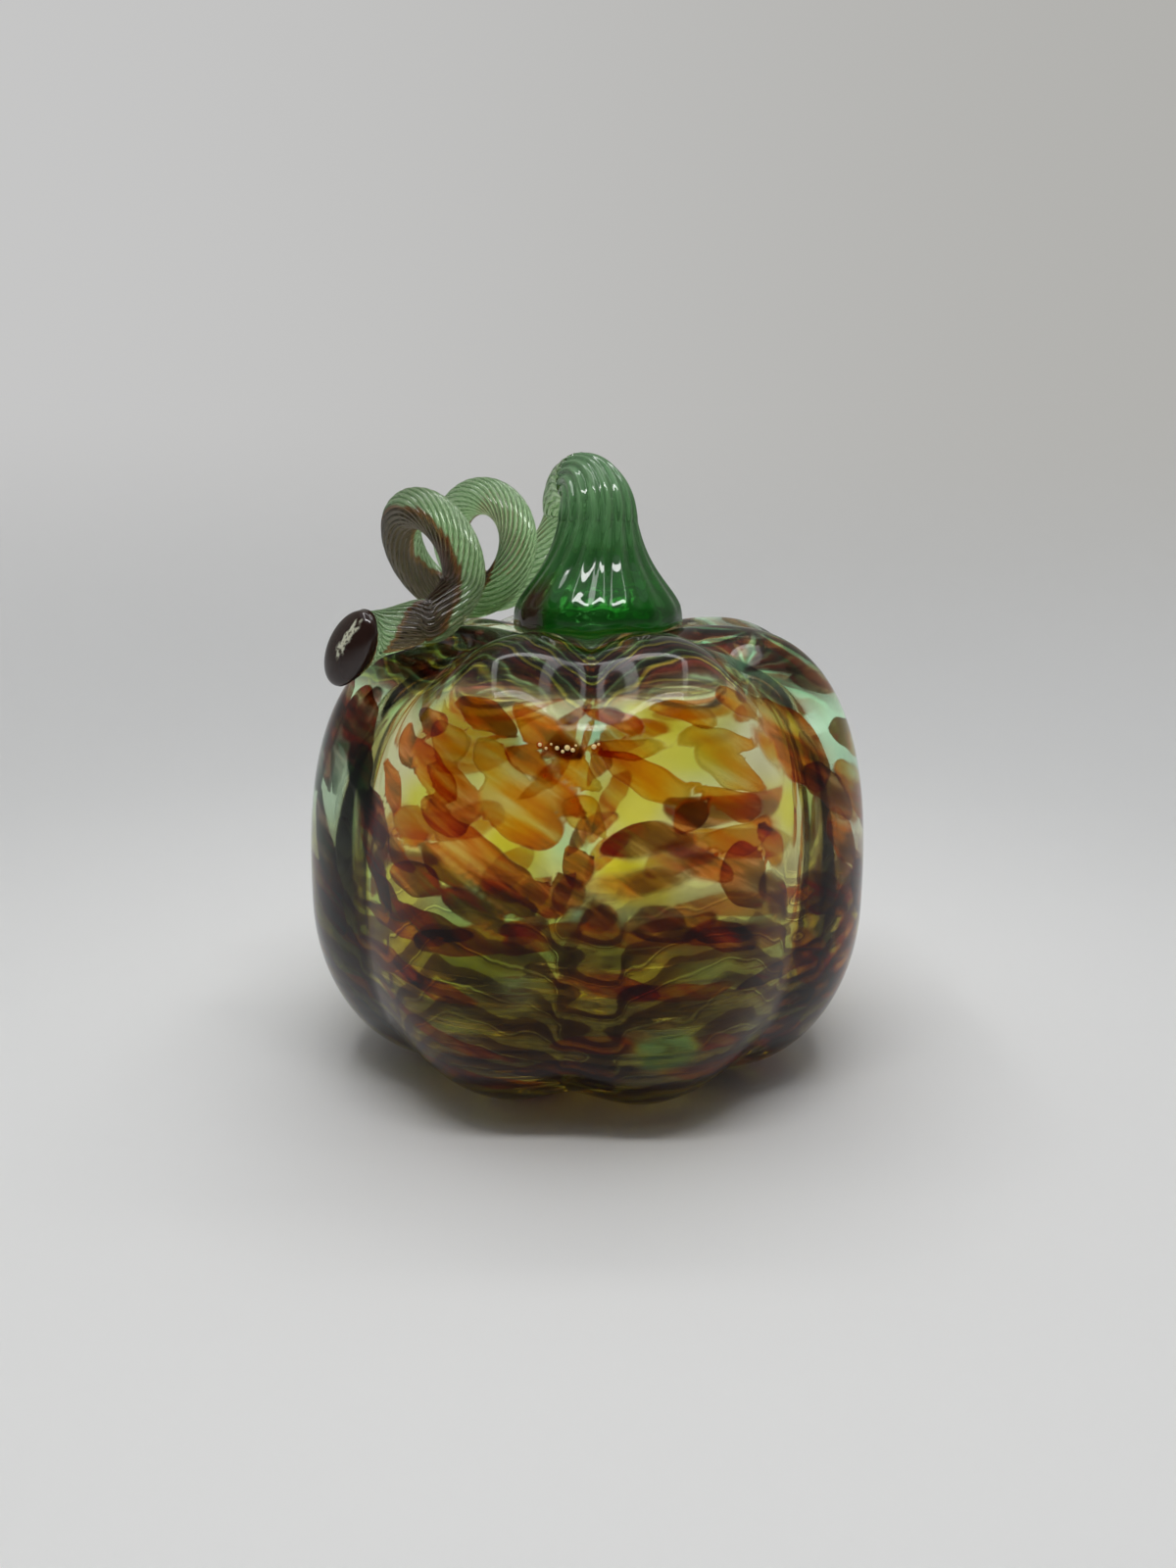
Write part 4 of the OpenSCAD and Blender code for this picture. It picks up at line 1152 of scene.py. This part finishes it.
vine_middle = np.vstack([spine[:1], spine, np.repeat(spine[-1:] + CUT_BACK * end_along, CUT_RINGS, 0)])
vine_middle[len(spine)] += CUT_BACK * end_along
vine_along = np.vstack([spine_along[:1], spine_along, np.repeat(spine_along[-1:], CUT_RINGS, 0)])
vine_r = to_cut(spine_r, spine_r[-1] * face_share)
vine_length = to_cut(spine_length, spine_length[-1])
vine_slant = to_cut(swollen**SLANT_POWER, 1)
vine_bulge = to_cut(0, CUT_BULGE * np.sqrt(1 - face_share**2))
vine_face = to_cut(0, 1)
vine_u, vine_w = ring_frame(vine_along)
vine_at = to_cut(spine_at, len(route) - 1)
VINE_ROWS = len(vine_middle) - 1
vine_twist = vine_length / (VINE_R * RIB_PITCH)
rib_fade = to_cut(share_of(to_end, 0, RIBS_END), 0)


def vine_rows(v):
    return np.clip(np.round(v * VINE_ROWS).astype(int), 0, VINE_ROWS)


def vine_turn(u, j):
    """Angle round the tube: the grid's columns wind along it with the ribs."""
    return 2 * math.pi * u + vine_twist[j]


def vine_across(u, j):
    q = vine_turn(u, j)
    return np.cos(q)[:, None] * vine_u[j] + np.sin(q)[:, None] * vine_w[j]


# The shears left a pale rough scar on the cut face
SCAR_L = 8.2
SCAR_W = 2.0
SCAR_OFF = -0.6
SCAR_UP = 2.4
SCAR_ROUGH = 0.16
SCAR_RAGGED, SCAR_EDGE = 0.25, 0.3


def vine_scar(u, v):
    j = vine_rows(v)
    across = vine_across(u, j)
    x = vine_r[j] * (across @ cut_across) - SCAR_OFF
    y = vine_r[j] * (across @ cut_side) * math.sqrt(1 + cut_slope**2) - SCAR_UP
    ragged = SCAR_RAGGED * wobble(2.6 * x, 1.9 * y, 2)
    inside = 1 - np.maximum(np.abs(x) / (SCAR_W / 2), np.abs(y) / (SCAR_L / 2)) + ragged
    return share_of(inside, 0, SCAR_EDGE) * vine_face[j]


def vine_place(u, v):
    j = vine_rows(v)
    q = vine_turn(u, j)
    rib = np.abs(np.sin(VINE_RIBS * math.pi * u))
    r = np.maximum(vine_r[j] + VINE_RIB * (rib - RIB_LEVEL) * rib_fade[j], 0)
    across = vine_across(u, j)
    slant = -cut_slope * vine_slant[j] * r * (across @ cut_side)
    rough = SCAR_ROUGH * vine_scar(u, v) * np.sin(9 * r * np.cos(q)) * np.sin(8 * r * np.sin(q))
    points = vine_middle[j] + r[:, None] * across + slant[:, None] * vine_along[j]
    return points + (vine_bulge[j] + rough)[:, None] * cut_way


def vine_rib(u, v):
    j = vine_rows(v)
    return np.abs(np.sin(VINE_RIBS * math.pi * u)) * rib_fade[j] + 1 - rib_fade[j]


# The streak's middle, in degrees round the tube, and its half width, by the route's point number.
# It has a soft edge, and from just before the end the whole tube is brown.
STREAK_AT = [0, 6, 11.5, 14.5, 17, 19.5, 20.5, 23.5, 26, 28, 29.5, 30.5, 31.5, 33]
STREAK_MIDDLE = [100, 110, 120, 115, 50, -10, -25, 55, 65, 50, 20, -40, -60, -60]
STREAK_HALF = [8, 22, 28, 32, 55, 74, 74, 56, 70, 70, 75, 55, 10, -30]
STREAK_SOFT, STREAK_LIFT = 26, 0.35
BROWN_END = 1.6
CAP_FROM, CAP_LENGTH = 1.5, 1.2


def vine_streak(u, v):
    j = vine_rows(v)
    q = np.degrees(vine_turn(u, j))
    middle = np.interp(vine_at[j], STREAK_AT, STREAK_MIDDLE)
    half = np.interp(vine_at[j], STREAK_AT, STREAK_HALF)
    away = np.abs(turn_from(q, middle))
    brush = 3 * np.sin(14 * math.pi * u) + 3 * np.sin(34 * math.pi * u)
    cover = np.clip((half + brush - away) / STREAK_SOFT + STREAK_LIFT, 0, 1)
    return np.maximum(cover, np.clip(BROWN_END - (spine_length[-1] - vine_length[j]), 0, 1))


def vine_cap(u, v):
    return np.clip(CAP_FROM - (spine_length[-1] - vine_length[vine_rows(v)]) / CAP_LENGTH, 0, 1)


vine = wrapped_grid(
    "ribbed_vine",
    VINE_COLS,
    VINE_ROWS,
    vine_place,
    [("streak", vine_streak), ("rib", vine_rib), ("scar", vine_scar), ("cap", vine_cap)],
)
VINE_GREEN = (0.68, 0.88, 0.56)
VINE_DEEPER = (0.46, 0.70, 0.36)
VINE_GROOVE_SHADE = (0.10, 0.28, 0.07)
VINE_RUSSET = (0.20, 0.055, 0.018)
VINE_BROWN = (0.060, 0.027, 0.019)
CAP_BROWN = (0.028, 0.013, 0.010)
VINE_THROUGH = 0.72
SCAR_PALE = (0.70, 0.70, 0.54)
SCAR_DARK = (0.16, 0.15, 0.10)
VINE_CLOUD = 220
RUSSET_FROM, RUSSET_FULL = 0.0, 0.35
BROWN_FROM, BROWN_FULL = 0.5, 1.0
CAP_BROWN_FROM, CAP_BROWN_FULL = 0.7, 1.0
SPECK_SCALE = 1500
SPECK_FROM, SPECK_FULL = 0.5, 0.62
VINE_ROUGHNESS, SCAR_ROUGHNESS = 0.03, 0.4
recipe = coat(vine, "vine_glass")
where = recipe.place()
cloud = recipe.noise(where, VINE_CLOUD, 3)
pale = recipe.mix("MIX", cloud, VINE_GREEN, VINE_DEEPER)
# Painted shade: the grooves between the ribs are darker than the crests
colour = recipe.mix("MIX", recipe.value("rib"), VINE_GROOVE_SHADE, pale)
for share, low, high, tint in (
    ("streak", RUSSET_FROM, RUSSET_FULL, VINE_RUSSET),
    ("streak", BROWN_FROM, BROWN_FULL, VINE_BROWN),
    ("cap", CAP_BROWN_FROM, CAP_BROWN_FULL, CAP_BROWN),
):
    covered = recipe.range(recipe.value(share), low, high)
    colour = recipe.mix("MIX", covered, colour, tint)
specks = recipe.noise(where, SPECK_SCALE)
specks = recipe.range(specks, SPECK_FROM, SPECK_FULL)
speckled = recipe.mix("MIX", specks, SCAR_PALE, SCAR_DARK)
colour = recipe.mix("MIX", recipe.value("scar"), colour, speckled)
through = recipe.math("MULTIPLY_ADD", recipe.value("cap"), -VINE_THROUGH, VINE_THROUGH)
worn = recipe.math("MULTIPLY_ADD", recipe.value("scar"), SCAR_ROUGHNESS, VINE_ROUGHNESS)
recipe.give(Base_Color=colour, Roughness=worn, IOR=GLASS_IOR, Transmission_Weight=through)
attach(vine, "root")
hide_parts("vine", "vine_streak")
